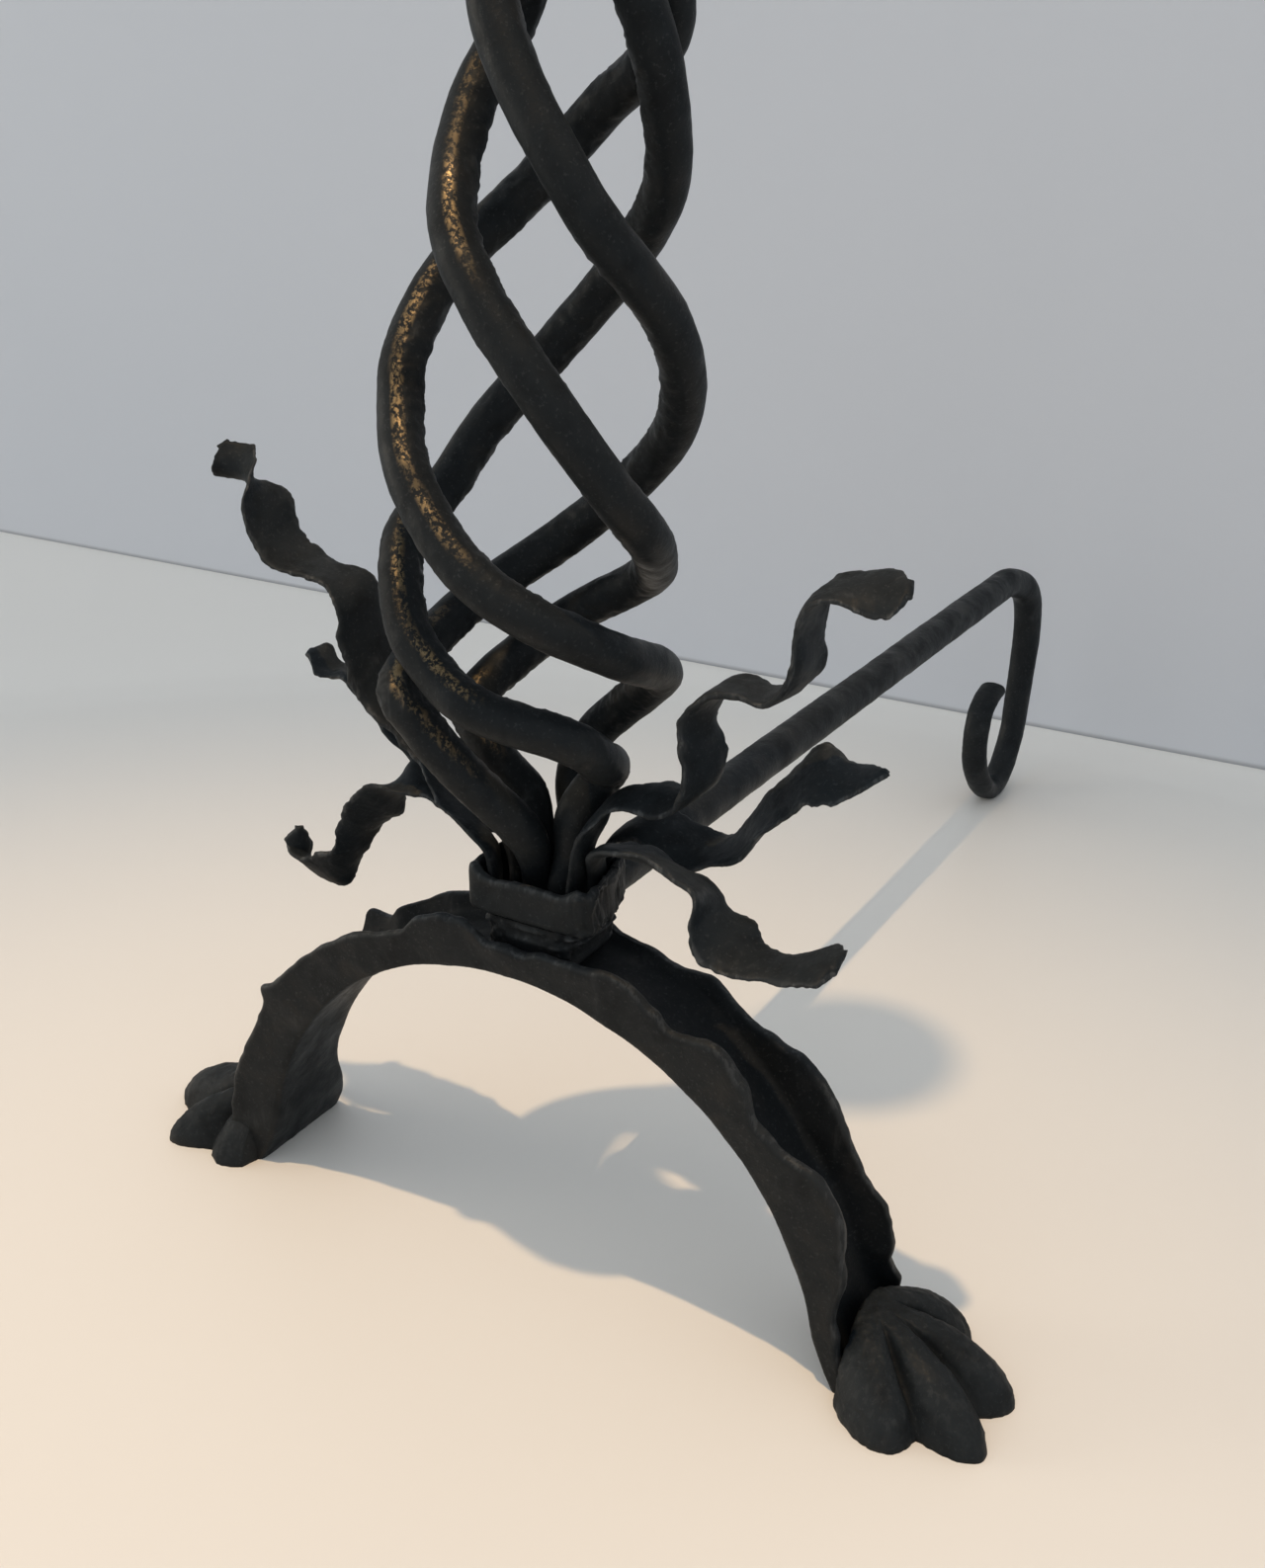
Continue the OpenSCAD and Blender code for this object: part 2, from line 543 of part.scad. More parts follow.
module billet_bar() {
  p = smooth([for (i = [0 : len(billet_path) - 1]) [leg_lean * ease((i - 1) / 3), each billet_path[i]]], 4);
  last = len(p) - 1;
  color(iron) stand() {
    translate([0, billet_start, billet_height])
      rotate([-90, 0, 0])
        cylinder(r = billet_r, h = bend_start - billet_start);
    skin([
      for (i = [0 : last])
        let (t = i < 5 ? [0, 1, 0] : tangent(p, i), u = square_to([1, 0, 0], t), v = cross(t, u))
          [
            for (k = [0 : billet_sides - 1])
              let (b = -360 * k / billet_sides)
              let (q = p[i] + u * billet_side(i / last) * cos(b) + v * billet_half(i / last) * sin(b))
                // the scroll stands on a narrow flat
                [q[0], q[1], max(q[2], 0)]
          ]
    ]);
    translate([-tongue_width / 2, core_back + 0.3 - tongue_length, tongue_z])
      cube([tongue_width, billet_start + tongue_length - core_back + 6, tongue_height]);
  }
}

// --- Top of the column ------------------------------------------------------------

ring_inner = top_bunch + bar_top_diameter / 2 + 1.6;

module top_ring() {
  color(iron) stand() translate([0, 0, top_z - ring_height])
    rotate_extrude()
      polygon([
        [ring_inner, 0], [ring_inner + ring_wall - 0.8, 0], [ring_inner + ring_wall, 1.5],
        [ring_inner + ring_wall, ring_height - 1.5], [ring_inner + ring_wall - 0.8, ring_height],
        [ring_inner, ring_height]
      ]);
}

// A long stem with a spread foot on the ring, swelling into the ball
module finial() {
  foot = ring_inner + ring_wall * 0.6;
  ball_z = finial_height - ball_diameter / 2;
  color(rubbed) stand() translate([0, 0, top_z]) {
    cylinder(r = foot, h = 4);
    translate([0, 0, 3])
      cylinder(r1 = foot * 0.8, r2 = stem_diameter / 2, h = 22);
    cylinder(d = stem_diameter, h = ball_z);
    translate([0, 0, ball_z - ball_diameter * 0.7])
      cylinder(d1 = stem_diameter * 0.9, d2 = ball_diameter * 0.6, h = ball_diameter * 0.34);
    translate([0, 0, ball_z])
      sphere(d = ball_diameter);
  }
}

arch();
left_paw();
right_paw();
core_block();
tenon_washer();
collar();
basket_bar_1();
basket_bar_2();
basket_bar_3();
basket_bar_4();
left_upper_leaf();
left_middle_leaf();
left_lower_leaf();
right_upper_leaf();
right_middle_leaf();
right_lower_leaf();
billet_bar();
top_ring();
finial();
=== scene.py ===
"""Forged andiron: hammered skins, blackened iron and a plain studio stage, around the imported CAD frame."""

import math

import bpy
import numpy as np
from mathutils import Matrix, Vector


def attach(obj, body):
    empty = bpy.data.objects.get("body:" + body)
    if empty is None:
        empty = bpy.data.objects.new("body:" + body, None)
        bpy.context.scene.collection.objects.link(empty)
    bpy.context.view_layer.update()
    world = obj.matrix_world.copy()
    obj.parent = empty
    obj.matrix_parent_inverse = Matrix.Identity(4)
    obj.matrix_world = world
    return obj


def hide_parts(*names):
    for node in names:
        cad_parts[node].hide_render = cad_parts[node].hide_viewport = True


bl_info = {
    "name": "Forged Andiron",
    "version": (1, 0, 0),
    "blender": (4, 5, 0),
    "location": "View3D > Sidebar > Andiron",
    "description": "Builds the hammered surfaces and finishes of a forged andiron",
    "category": "Add Mesh",
}

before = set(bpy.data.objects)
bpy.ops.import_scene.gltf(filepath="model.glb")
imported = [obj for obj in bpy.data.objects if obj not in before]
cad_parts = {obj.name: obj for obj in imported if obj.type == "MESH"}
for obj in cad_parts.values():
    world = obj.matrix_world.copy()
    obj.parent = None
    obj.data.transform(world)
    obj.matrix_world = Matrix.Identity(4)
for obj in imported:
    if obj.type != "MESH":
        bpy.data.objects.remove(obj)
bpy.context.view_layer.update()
MM = 0.001

# --- Sizes in millimetres, as in the part's source

ARCH_SPAN = 238.0
ARCH_RISE = 114.0
ARCH_DEPTH = 41.0
LEG_WAIST = 7.0
FOOT_SPREAD = 6.0
ARCH_PLATE = 4.5
FLANGE_HEIGHT = 22.0
FLANGE_LEAN = 2.5
LEG_FLARE = 7.0
CROWN_SHIFT = 5.0
ARCH_FRONT = -25.0
ARCH_HALF = ARCH_SPAN / 2 - LEG_FLARE
FLARE_HEIGHT = 25.0

PAW_HEIGHT = 24.0
TOE_WIDTH = 27.0
RIGHT_REACH = 52.0
LEFT_REACH = 56.0
HEEL_RADIUS = 15.0
HEEL_Y = -5.0

COLLAR_WIDTH = 48.0
COLLAR_DEPTH = 37.0
COLLAR_HEIGHT = 14.0
RIM_RISE = 3.0
COLLAR_WALL = 3.0
SEAT_Z = ARCH_RISE + ARCH_PLATE
COLLAR_Z = SEAT_Z + 15.0
FOOT_Z = COLLAR_Z + 3.5
COLLAR_FRONT = ARCH_FRONT + 4.0
COLLAR_BACK = COLLAR_FRONT + COLLAR_DEPTH

BAR_DIAMETER = 14.0
BASKET_HEIGHT = 345.0
BASKET_RADIUS = 42.0
BAR_FOOT_DIAMETER = 10.0
BAR_TOP_DIAMETER = 11.0
BUNCH_GAP = 0.3
BASKET_SWAY = 6.0
SWAY_TURN = 209.0
TOP_Z = FOOT_Z + BASKET_HEIGHT
FOOT_BUNCH = (BAR_FOOT_DIAMETER + BUNCH_GAP) / math.sqrt(2)
TOP_BUNCH = (BAR_TOP_DIAMETER + BUNCH_GAP) / math.sqrt(2)
RING_HEIGHT = 16.0
BALL_DIAMETER = 58.0
STEM_DIAMETER = 18.0
FINIAL_HEIGHT = 298.0
# Radius where the stem meets the ball, as a share of the ball's
NECK_SHARE = 0.52
RING_WALL = 3.5
RING_INNER = TOP_BUNCH + BAR_TOP_DIAMETER / 2 + 1.6

UPPER_LEAF_WIDTH = 21.0
MIDDLE_LEAF_WIDTH = 20.0
LOWER_LEAF_WIDTH = 19.0
LEAF_THICKNESS = 3.4
TIP_REACH = 1.5

BILLET_DIAMETER = 16.0
BILLET_HEIGHT = 130.0
BILLET_LENGTH = 520.0
LEG_LEAN = 5.0
SCROLL_WIDTH = 77.0
SCROLL_HEIGHT = 72.0
BILLET_R = BILLET_DIAMETER / 2
LEG_BACK = BILLET_LENGTH + 2.0
SCROLL_BACK = BILLET_LENGTH - 2.0
SCROLL_FRONT = SCROLL_BACK - SCROLL_WIDTH
CORE_BACK = ARCH_FRONT + ARCH_DEPTH - ARCH_PLATE - 0.3
CORE_FRONT = ARCH_FRONT + ARCH_PLATE + 0.3
CORE_WIDTH = 34.0
STEP_FRONT = COLLAR_FRONT + COLLAR_WALL + 0.5
STEP_BACK = CORE_BACK - 1
# Underside of the arch's crown where the washer sits, less the washer
WASHER_Z = ARCH_RISE * math.sqrt(1 - ((12 + CROWN_SHIFT) / ARCH_HALF) ** 2) - 2.6

# Shift from the column's axis to the middle of the footprint
MID_X = (RIGHT_REACH - LEFT_REACH) / 2
REAR_Y = LEG_BACK + BILLET_R - 0.2
MID_Y = (REAR_Y - (BASKET_RADIUS + BAR_DIAMETER / 2 + BASKET_SWAY / 2)) / 2
STAND = np.array([-MID_X, -MID_Y, 0.0])

# Crests and troughs of the channel's flange edges: angle from the crown, percent of the flange height
FRONT_EDGE = [
    (-90, 84), (-74, 92), (-63, 82), (-53, 90), (-30, 80), (-24, 66), (-20, 65), (-15, 88),
    (-11, 92), (-8, 87), (-3, 56), (3, 53), (9, 68), (20, 98), (25, 82), (28, 72), (35, 110),
    (40, 96), (45, 70), (49, 78), (56, 116), (61, 112), (68, 84), (78, 44), (90, 32),
]
REAR_EDGE = [
    (-90, 70), (-60, 68), (-50, 68), (-42, 77), (-28, 60), (-6, 42), (6, 42), (14, 30), (20, 34),
    (28, 54), (34, 48), (46, 88), (62, 74), (68, 88), (82, 58), (90, 32),
]
# Burrs and a notch on the flange edges: angle from the crown, width in degrees, rise
FRONT_BURRS = [(-54, 1.4, 2.6)]
REAR_BURRS = [(-41.5, 1.8, 4.2), (-37.5, 2.0, -2.5)]
LOWEST_FLANGE = ARCH_PLATE + 2.6

# Toes round the heel: angle from straight out, share of the reach, share of the toe width
RIGHT_TOES = [(48, 0.78, 1), (4, 1, 1.05), (-26, 1.06, 0.95), (-56, 0.84, 1.05)]
LEFT_TOES = [(34, 0.86, 0.95), (4, 1, 1.2), (-36, 0.84, 0.75), (-68, 0.58, 0.95)]
# Half the length of a toe's ellipse as a share of its reach, and the grooves between toes
TOE_HALF = 0.53
FURROW_WIDTH = 2.2
FURROW_DEPTH = 3.4
SADDLE_WIDTH = 7.0
SADDLE_DEPTH = 0.16
# The heel's middle lies outside the clear span, and its inner side is squashed
HEEL_OUT = 3.0
HEEL_SQUASH = 0.25

# Marks dished into the collar's front: depth, middle and width across, middle and height upwards
COLLAR_DISHES = [(1.0, (-14.5, 4.2), (141, 3.0)), (0.6, (6, 6), (138.5, 2.6))]

# Basket bars: percent of the basket's height, turn in degrees, percent of its radius
BARS = [
    [
        (6, 252, 28), (9, 250, 44), (13, 236, 70), (18, 227, 99), (22, 218, 109), (26, 164, 94),
        (32, 112, 99), (39, 73, 100), (46, 39, 99), (54, 5, 89), (64, -49, 75), (77, -107, 56),
        (90, -152, 33),
    ],
    [
        (6, 165, 26), (9, 163, 38), (12, 179, 52), (15, 187, 62), (18, 178, 73), (21.5, 134, 83),
        (25, 105, 90), (29.5, 68, 100), (33.3, 29, 84), (37.4, -12, 101), (42, -32, 101), (49, -58, 98),
        (56, -89, 88), (62, -122, 77), (70, -170, 66), (78, -208, 56), (90, -246, 35),
    ],
    [
        (6, 446, 28), (10, 462, 45), (14, 450, 60), (17, 429, 67), (20, 406, 76), (23, 385, 85),
        (27, 335, 92), (31, 299, 100), (35, 270, 100), (41, 241, 101), (46, 220, 100), (51, 204, 99),
        (57, 178, 90), (64, 135, 80), (70, 101, 75), (77, 46, 74), (90, 12, 42),
    ],
    [
        (5, 340, 18), (9, 358, 19.5), (13, 386, 40), (16, 336, 63), (19, 313, 77), (21.5, 267, 84),
        (24, 240, 91), (28, 224, 102), (34, 199, 103), (37.5, 168, 100), (43, 146, 100), (50, 118, 96),
        (57, 89, 88), (64, 52, 77), (71, 27, 68), (78, 2, 57), (90, -48, 35),
    ],
]

# Leaves from root to tip: distance out, y, height over the core block, plan turn, tilt, share of the width
LEAVES = {
    "left_upper_leaf": (-1, UPPER_LEAF_WIDTH, [
        (17.2, -11.6, 0.3, 108, 0, 0.54), (17.4, -11.6, 10, 108, 0, 0.54),
        (19.6, -11.8, 17, 106, 0, 0.5), (30, -9.4, 22.5, 104, 0, 0.6), (40, -6, 28, 102, 2, 0.78),
        (47, -1.5, 34, 100, 5, 0.92), (54, 4, 41, 95, 10, 1.05), (65.5, 2.5, 52.5, 88, 10, 1.1),
        (73.5, 1, 63.5, 85, 10, 1.14), (77, 0, 78, 86, 14, 1.14), (79, -1, 88, 91, 15, 1.1),
        (84, -1, 93, 102, 14, 1), (91, -1, 96, 117, 7, 1), (97, -1, 97, 115, 10, 0.97),
        (105, -1, 99, 109, 18, 1.12), (112, -1, 105, 100, 20, 1.18), (116, -1, 113, 89, 19, 1.1),
        (119, -2, 119.5, 101, 8, 1.04), (122, -2, 123.5, 135, -14, 0.72), (126, -2, 127, 190, -30, 0.76),
        (129.5, -2, 130.5, 230, -30, 0.84), (132.5, -2, 133.5, 238, -32, 0.5),
    ]),
    "left_middle_leaf": (-1, MIDDLE_LEAF_WIDTH, [
        (12.8, 6.2, 0.3, 90, 0, 0.42), (13.3, 6.2, 7, 90, 0, 0.42), (15.4, 5.8, 13.5, 92, 0, 0.38),
        (20.5, 8.8, 18.5, 90, 0, 0.48), (28, 13, 20, 92, 0, 0.72), (37, 16, 14.5, 93, 0, 0.78),
        (47, 18, 10.5, 94, 0, 0.8), (72, 20, 30.5, 96, 8, 0.85), (92, 19, 47.5, 102, 12, 0.8),
        (101, 19, 52.5, 116, -2, 0.75), (107, 19, 52.5, 112, 8, 0.75), (112, 18, 55.5, 110, 22, 0.85),
        (117, 18, 57.5, 112, 6, 0.6),
    ]),
    "left_lower_leaf": (-1, LOWER_LEAF_WIDTH, [
        (13.3, -3.6, 0.3, 92, 0, 0.48), (13.5, -3.6, 8, 92, 0, 0.48), (16.3, -2.8, 14.5, 92, 0, 0.42),
        (22, -0.5, 18, 92, 0, 0.42), (31, 0.3, 17.5, 94, 0, 0.56), (42, 2, 22.5, 100, 8, 0.8),
        (54.5, 1, 27.5, 118, 18, 0.94), (60.5, 0, 28, 118, 18, 1), (69, 0, 21, 92, -24, 1.15),
        (74, 0, 14.5, 72, -30, 1.25), (78, 0, 10, 71, -26, 1.15), (85, 0, 1, 75, -26, 0.9),
        (90.5, 0, -10, 78, -34, 0.86), (98, 0, -17, 74, -48, 1.1), (106, 0, -18, 80, -50, 0.9),
        (111.5, 0, -14, 64, -38, 0.68), (112.5, 0, -9, 44, -15, 0.6), (112, 0, -4.5, 38, 0, 0.38),
    ]),
    "right_upper_leaf": (1, UPPER_LEAF_WIDTH, [
        (13.6, -10.6, 0.3, 90, 0, 0.56), (13.8, -10.6, 12, 90, 0, 0.56), (17.5, -9.5, 29, 90, 0, 0.8),
        (23, -4, 39.5, 95, 5, 1), (31, -2.5, 42.5, 95, 5, 1), (40, -1, 43, 95, 12, 0.92),
        (48.5, 0, 45.5, 85, 5, 0.9), (52.5, 0, 53.5, 76, 4, 1), (50.5, 0, 70.5, 80, -5, 0.95),
        (55.5, 0, 81.5, 90, 0, 0.92), (64.5, 0, 83.5, 95, 0, 0.95), (73.5, -1, 83.5, 99, 0, 1),
        (80.5, -1, 87.5, 95, -12, 1), (84.5, -1, 94.5, 90, -15, 0.96), (84.5, -1, 104.5, 85, -14, 1),
        (86.5, -2, 114.5, 98, -6, 0.92), (91.5, -2, 118.5, 118, 2, 0.85),
        (98.5, -2, 119.5, 124, 16, 1.02), (105.5, -2, 120.5, 119, 25, 1.06),
        (113.5, -2, 122.5, 108, 25, 0.9),
    ]),
    "right_middle_leaf": (1, MIDDLE_LEAF_WIDTH, [
        (12.4, 6, 0.3, 90, 0, 0.46), (12.6, 6, 9, 90, 0, 0.48), (17.5, 9.5, 21, 92, 4, 0.62),
        (29, 11, 27, 88, 18, 1), (44, 11, 21.5, 86, 20, 1.05), (54, 11, 23.5, 95, 12, 1),
        (62, 11, 28.5, 106, 10, 1.05), (67, 11, 36.5, 118, 6, 1.02), (74, 11, 44.5, 119, 8, 1),
        (80, 11, 52.5, 115, 18, 1.1), (87, 10, 57.5, 110, 26, 1.25), (95, 10, 58.5, 108, 15, 1.02),
        (102, 10, 60.5, 104, 4, 0.85), (107, 10, 62.5, 104, 4, 0.4),
    ]),
    "right_lower_leaf": (1, LOWER_LEAF_WIDTH, [
        (17.5, -4.4, 0.3, 88, 0, 0.5), (17.6, -4.6, 13, 90, -3, 0.52),
        (20.5, -9.5, 22.5, 102, -14, 0.84), (29.5, -13, 27.5, 109, -19, 1.02),
        (41.5, -14, 28.5, 107, -16, 1), (51.5, -14, 25.5, 108, -15, 1), (60.5, -14, 21.5, 98, -14, 1.08),
        (64.5, -15, 14.5, 78, -5, 1.15), (70.5, -16, 8.5, 71, 12, 1.3), (77.5, -16, 4.5, 80, 10, 1.15),
        (84.5, -16, 4.5, 98, 2, 0.98), (91.5, -17, 5.5, 105, 0, 0.92), (98.5, -18, 8.5, 108, 4, 1.08),
        (107.5, -18, 12.5, 92, 14, 1.35),
    ]),
}

# Camera fitted to the photograph: place and lens in millimetres, turns in degrees
EYE = (260.0 - MID_X - 0.24, -417.0 - MID_Y + 0.18, 381.4)
EYE_PITCH = 22.683
EYE_YAW = 29.129
EYE_ROLL = 1.314
EYE_LENS = 37.57
SENSOR_WIDTH = 36.0

# Stage in metres: the lamp hangs over the front and is aimed in front of the arch
LAMP_PLACE = (-0.073, -0.28 - MID_Y * MM, 2.0)
LAMP_AIM = (0.0, -0.2 - MID_Y * MM, 0.0)
LAMP_RADIUS = 0.018
LAMP_CONE = math.radians(42)
LAMP_COLOUR = (1.0, 0.7, 0.4)
TABLE_SIZE = 8.0
WALL_HEIGHT = 3.0
WALL_SLOPE = 0.0205
# Painted shadow where the wall meets the table: its height, how dark it is at the foot, and its colour
JOINT_SHADOW_HEIGHT = 0.004
JOINT_SHADOW_SHARE = 0.55
JOINT_SHADOW_COLOUR = (0.1, 0.1, 0.1, 1)
# Direction of the window that lights the bars from the left, and the cosines over which it fades in
WINDOW_SIDE = (-0.92, -0.38, 0.12)
WINDOW_FADE = (0.945, 0.99)
WINDOW_COLOUR = (1.0, 0.9, 0.74, 1)
ROOM_COLOUR = (0.88, 0.95, 1.0, 1)
SEEN_COLOUR = (0.62, 0.64, 0.67, 1)

# Rub on the basket bars, partly real wear and partly a painted highlight of the lamp: the bearing of the
# handled side, and the way its rubbed line faces, halfway between the camera and the lamp
RUB_HIGHLIGHT_TURN = math.radians(EYE_YAW - 12)
LAMP_HIGHLIGHT_FACING = (0.23, -0.54, 0.8)
# Colour of the scale in its dark mottles, and of the painted shade in the hollows
MOTTLE_AND_SHADE_COLOUR = (0.006, 0.007, 0.008, 1)
# Numbers of the colour sockets on a mix node
MIX_FIRST, MIX_SECOND, MIX_RESULT = 6, 7, 2

# --- Curves


def ease(t):
    """Smooth step: three t squared less two t cubed, with t held between 0 and 1."""
    c = np.clip(t, 0.0, 1.0)
    return c * c * (3 - 2 * c)


def mix(a, b, t):
    """Straight mix of a and b."""
    return a + (b - a) * t


def bell(x, centre, width):
    """Bump of height 1: e to the minus square of the distance over the width."""
    return np.exp(-(((x - centre) / width) ** 2))


def unit(v):
    """Vectors divided by their own length."""
    return v / (np.linalg.norm(v, axis=-1, keepdims=True) + 1e-12)


def circle(count):
    """That many angles, evenly spaced once round."""
    return np.linspace(0, 2 * np.pi, count, endpoint=False)


def rounded(v, power):
    """A power of the size of v, with the sign of v kept."""
    return np.sign(v) * np.abs(v) ** power


def along(points, t):
    """Cubic curve through the points whose slope at each is half the step between its neighbours."""
    p = np.asarray(points, float)
    last = len(p) - 1
    i = np.minimum(np.floor(t).astype(int), last - 1)
    f = (t - i)[:, None]
    a, b, c, d = p[np.maximum(i - 1, 0)], p[i], p[i + 1], p[np.minimum(i + 2, last)]
    return 0.5 * (2 * b + (c - a) * f + (2 * a - 5 * b + 4 * c - d) * f**2 + (3 * b - a - 3 * c + d) * f**3)


def between(table, angle):
    """Value between the crests and troughs of a table, eased from each row to the next."""
    a, v = np.array(table, float).T
    i = np.clip(np.searchsorted(a, angle, side="left") - 1, 0, len(a) - 2)
    return mix(v[i], v[i + 1], ease((angle - a[i]) / (a[i + 1] - a[i])))


# --- Hammer marks and grain

# Value of the hammer marks at the skin's own level, above which they stand as ridges
RIDGE_LEVEL = 0.45


def lattice(cell, seed):
    """Number from 0 to 1 for each whole-number cell, its coordinates scrambled by odd factors."""
    c = cell.astype(np.int64).astype(np.uint64)
    h = c[..., 0] * np.uint64(73856093) ^ c[..., 1] * np.uint64(19349663)
    h = h ^ c[..., 2] * np.uint64(83492791) ^ np.uint64(seed * 7919 + 13)
    h = (h ^ (h >> np.uint64(13))) * np.uint64(1274126177)
    h = h ^ (h >> np.uint64(16))
    return (h & np.uint64(0xFFFFFF)).astype(float) / 0xFFFFFF


def swell(p, size, seed):
    """Soft noise from -1 to 1: numbers at the corners of cells of that size, eased between them."""
    q = p / size
    base = np.floor(q)
    f = ease(q - base)
    total = np.zeros(p.shape[:-1])
    for corner in np.ndindex(2, 2, 2):
        total += np.prod(np.where(corner, f, 1 - f), axis=-1) * lattice(base + corner, seed)
    return 2 * total - 1


def dents(p, size, seed):
    """Hammer marks: squared distance to the nearest of the points scattered one to a cell.

    It is 0 in the middle of each mark and 1 on the ridges between marks.
    """
    q = p / size
    base = np.floor(q)
    nearest = np.full(p.shape[:-1], 9.0)
    for step in np.ndindex(3, 3, 3):
        cell = base + np.array(step) - 1
        spot = cell + np.stack([lattice(cell, seed + n) for n in range(3)], -1)
        nearest = np.minimum(nearest, ((q - spot) ** 2).sum(-1))
    return np.minimum(nearest, 1.0)


def facing(grid, loop=False):
    """Outward normals of a grid: the cross product of its steps round and along.

    They are turned to point away from each ring's middle.
    """
    step = np.roll(grid, -1, 0) - np.roll(grid, 1, 0) if loop else np.gradient(grid, axis=0)
    normal = unit(np.cross(np.roll(grid, -1, 1) - np.roll(grid, 1, 1), step))
    outward = ((grid - grid.mean(1, keepdims=True)) * normal).sum(-1).mean()
    return normal if outward > 0 else -normal


def forged(grid, seed, mark=0.35, size=9.0, wave=0.3, grain=0.08, loop=False, rough=0.0):
    """Skin beaten along its normals, with the ridges between its hammer marks as wear.

    The lift is the sum of dished marks of that size, a slow wave, fine grain and, where rough, pits.
    """
    ridge = dents(grid, size, seed)
    lift = mark * (ridge - RIDGE_LEVEL) + wave * swell(grid, size * 3.1, seed + 5)
    lift = lift + grain * (swell(grid, 1.7, seed + 9) + 0.6 * swell(grid, 0.9, seed + 11))
    lift = lift + rough * (swell(grid, 2.6, seed + 15) + 0.7 * swell(grid, 1.2, seed + 17))
    return grid + facing(grid, loop) * lift[..., None], ease((ridge - RIDGE_LEVEL) / 0.4)


# --- Meshes


def put(node, finish, surface, loop=False):
    """Closed skin of a grid of rings, in the place of that node of the frame.

    A quad joins neighbours and, over each open end, a fan runs to its middle.
    """
    grid, marks = surface
    rings, sides = grid.shape[:2]
    grid = (grid + STAND) * MM
    row = np.arange(rings if loop else rings - 1)[:, None]
    side = np.arange(sides)[None, :]
    here, there = row * sides, (row + 1) % rings * sides
    after = (side + 1) % sides
    faces = np.stack([here + side, here + after, there + after, there + side], -1).reshape(-1, 4)
    points = grid.reshape(-1, 3)
    fans = np.zeros((0, 3), int)
    if not loop:
        points = np.concatenate([points, grid[:1].mean(1), grid[-1:].mean(1)])
        side, after = side[0], after[0]
        last, middle = (rings - 1) * sides, rings * sides
        start = np.stack([np.full(sides, middle), after, side], -1)
        end = np.stack([np.full(sides, middle + 1), last + side, last + after], -1)
        fans = np.concatenate([start, end])
    a, b, c, d = (points[faces[:, k]] for k in range(4))
    volume = (a * np.cross(b, c)).sum() + (a * np.cross(c, d)).sum()
    if volume < 0:
        faces, fans = faces[:, ::-1], fans[:, ::-1]
    mesh = bpy.data.meshes.new(node + "_skin")
    mesh.from_pydata(points.tolist(), [], faces.tolist() + fans.tolist())
    for key in ("edge", "hollow_shade", "rub_highlight"):
        value = np.broadcast_to(marks.get(key, 0.0), (rings, sides)).astype(float)
        flat = value.ravel()
        if not loop:
            flat = np.concatenate([flat, [value[0].mean(), value[-1].mean()]])
        layer = mesh.attributes.new(key, "FLOAT", "POINT")
        layer.data.foreach_set("value", np.clip(flat, 0.0, 1.0))
    mesh.polygons.foreach_set("use_smooth", np.ones(len(mesh.polygons), bool))
    mesh.materials.append(iron_finish(finish))
    mesh.update()
    piece = bpy.data.objects.new(node + "_skin", mesh)
    bpy.context.scene.collection.objects.link(piece)
    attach(piece, "root")
    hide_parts(node)


def tube(path, across, tall, towards, sides, reach=0.0, square=1.0):
    """Rings carried along a path: across times the cosine one way, tall times the sine the other.

    With a reach, the far end is rounded over by that much.
    """
    towards = np.asarray(towards, float)
    tangent = unit(np.gradient(path, axis=0))
    u = unit(towards - (tangent @ towards)[:, None] * tangent)
    v = np.cross(tangent, u)
    if reach:
        path, u, v, across, tall = domed(path, tangent, reach, u, v, across, tall)
    turn = circle(sides)
    c, s = rounded(np.cos(turn), square), rounded(np.sin(turn), square)
    return (
        path[:, None]
        + u[:, None] * (across[:, None] * c)[..., None]
        + v[:, None] * (tall[:, None] * s)[..., None]
    )


def domed(path, tangent, reach, u, v, across, tall):
    """The same rings with more past the far end, whose size falls as a quarter circle."""
    turn = np.radians([20, 38, 54, 68, 80])
    path = np.concatenate([path, path[-1] + tangent[-1] * (reach * np.sin(turn))[:, None]])
    u, v = (np.concatenate([k, np.repeat(k[-1:], len(turn), 0)]) for k in (u, v))
    across, tall = (np.concatenate([k, k[-1] * np.cos(turn)]) for k in (across, tall))
    return path, u, v, across, tall


# --- Front arch

# Samples on each stretch of the channel's outline, from the underside's front corner round
OUTLINE_SAMPLES = (2, 18, 2, 4, 14, 3, 14, 3, 16, 4, 2, 20, 2, 22)
# Stretches inside the channel, and those on the flanges' edges
INSIDE_STRETCHES = (4, 5, 6, 7, 8)
LIP_STRETCHES = (2, 3, 9, 10)


def flange_edge(turn, table, rough, burrs):
    """Height of a flange at each angle: eased between crests and troughs, roughened, plus its burrs."""
    edge = np.maximum(LOWEST_FLANGE, between(table, turn) / 100 * FLANGE_HEIGHT) + rough
    for angle, width, rise in burrs:
        edge = edge + rise * bell(turn, angle, width)
    return edge


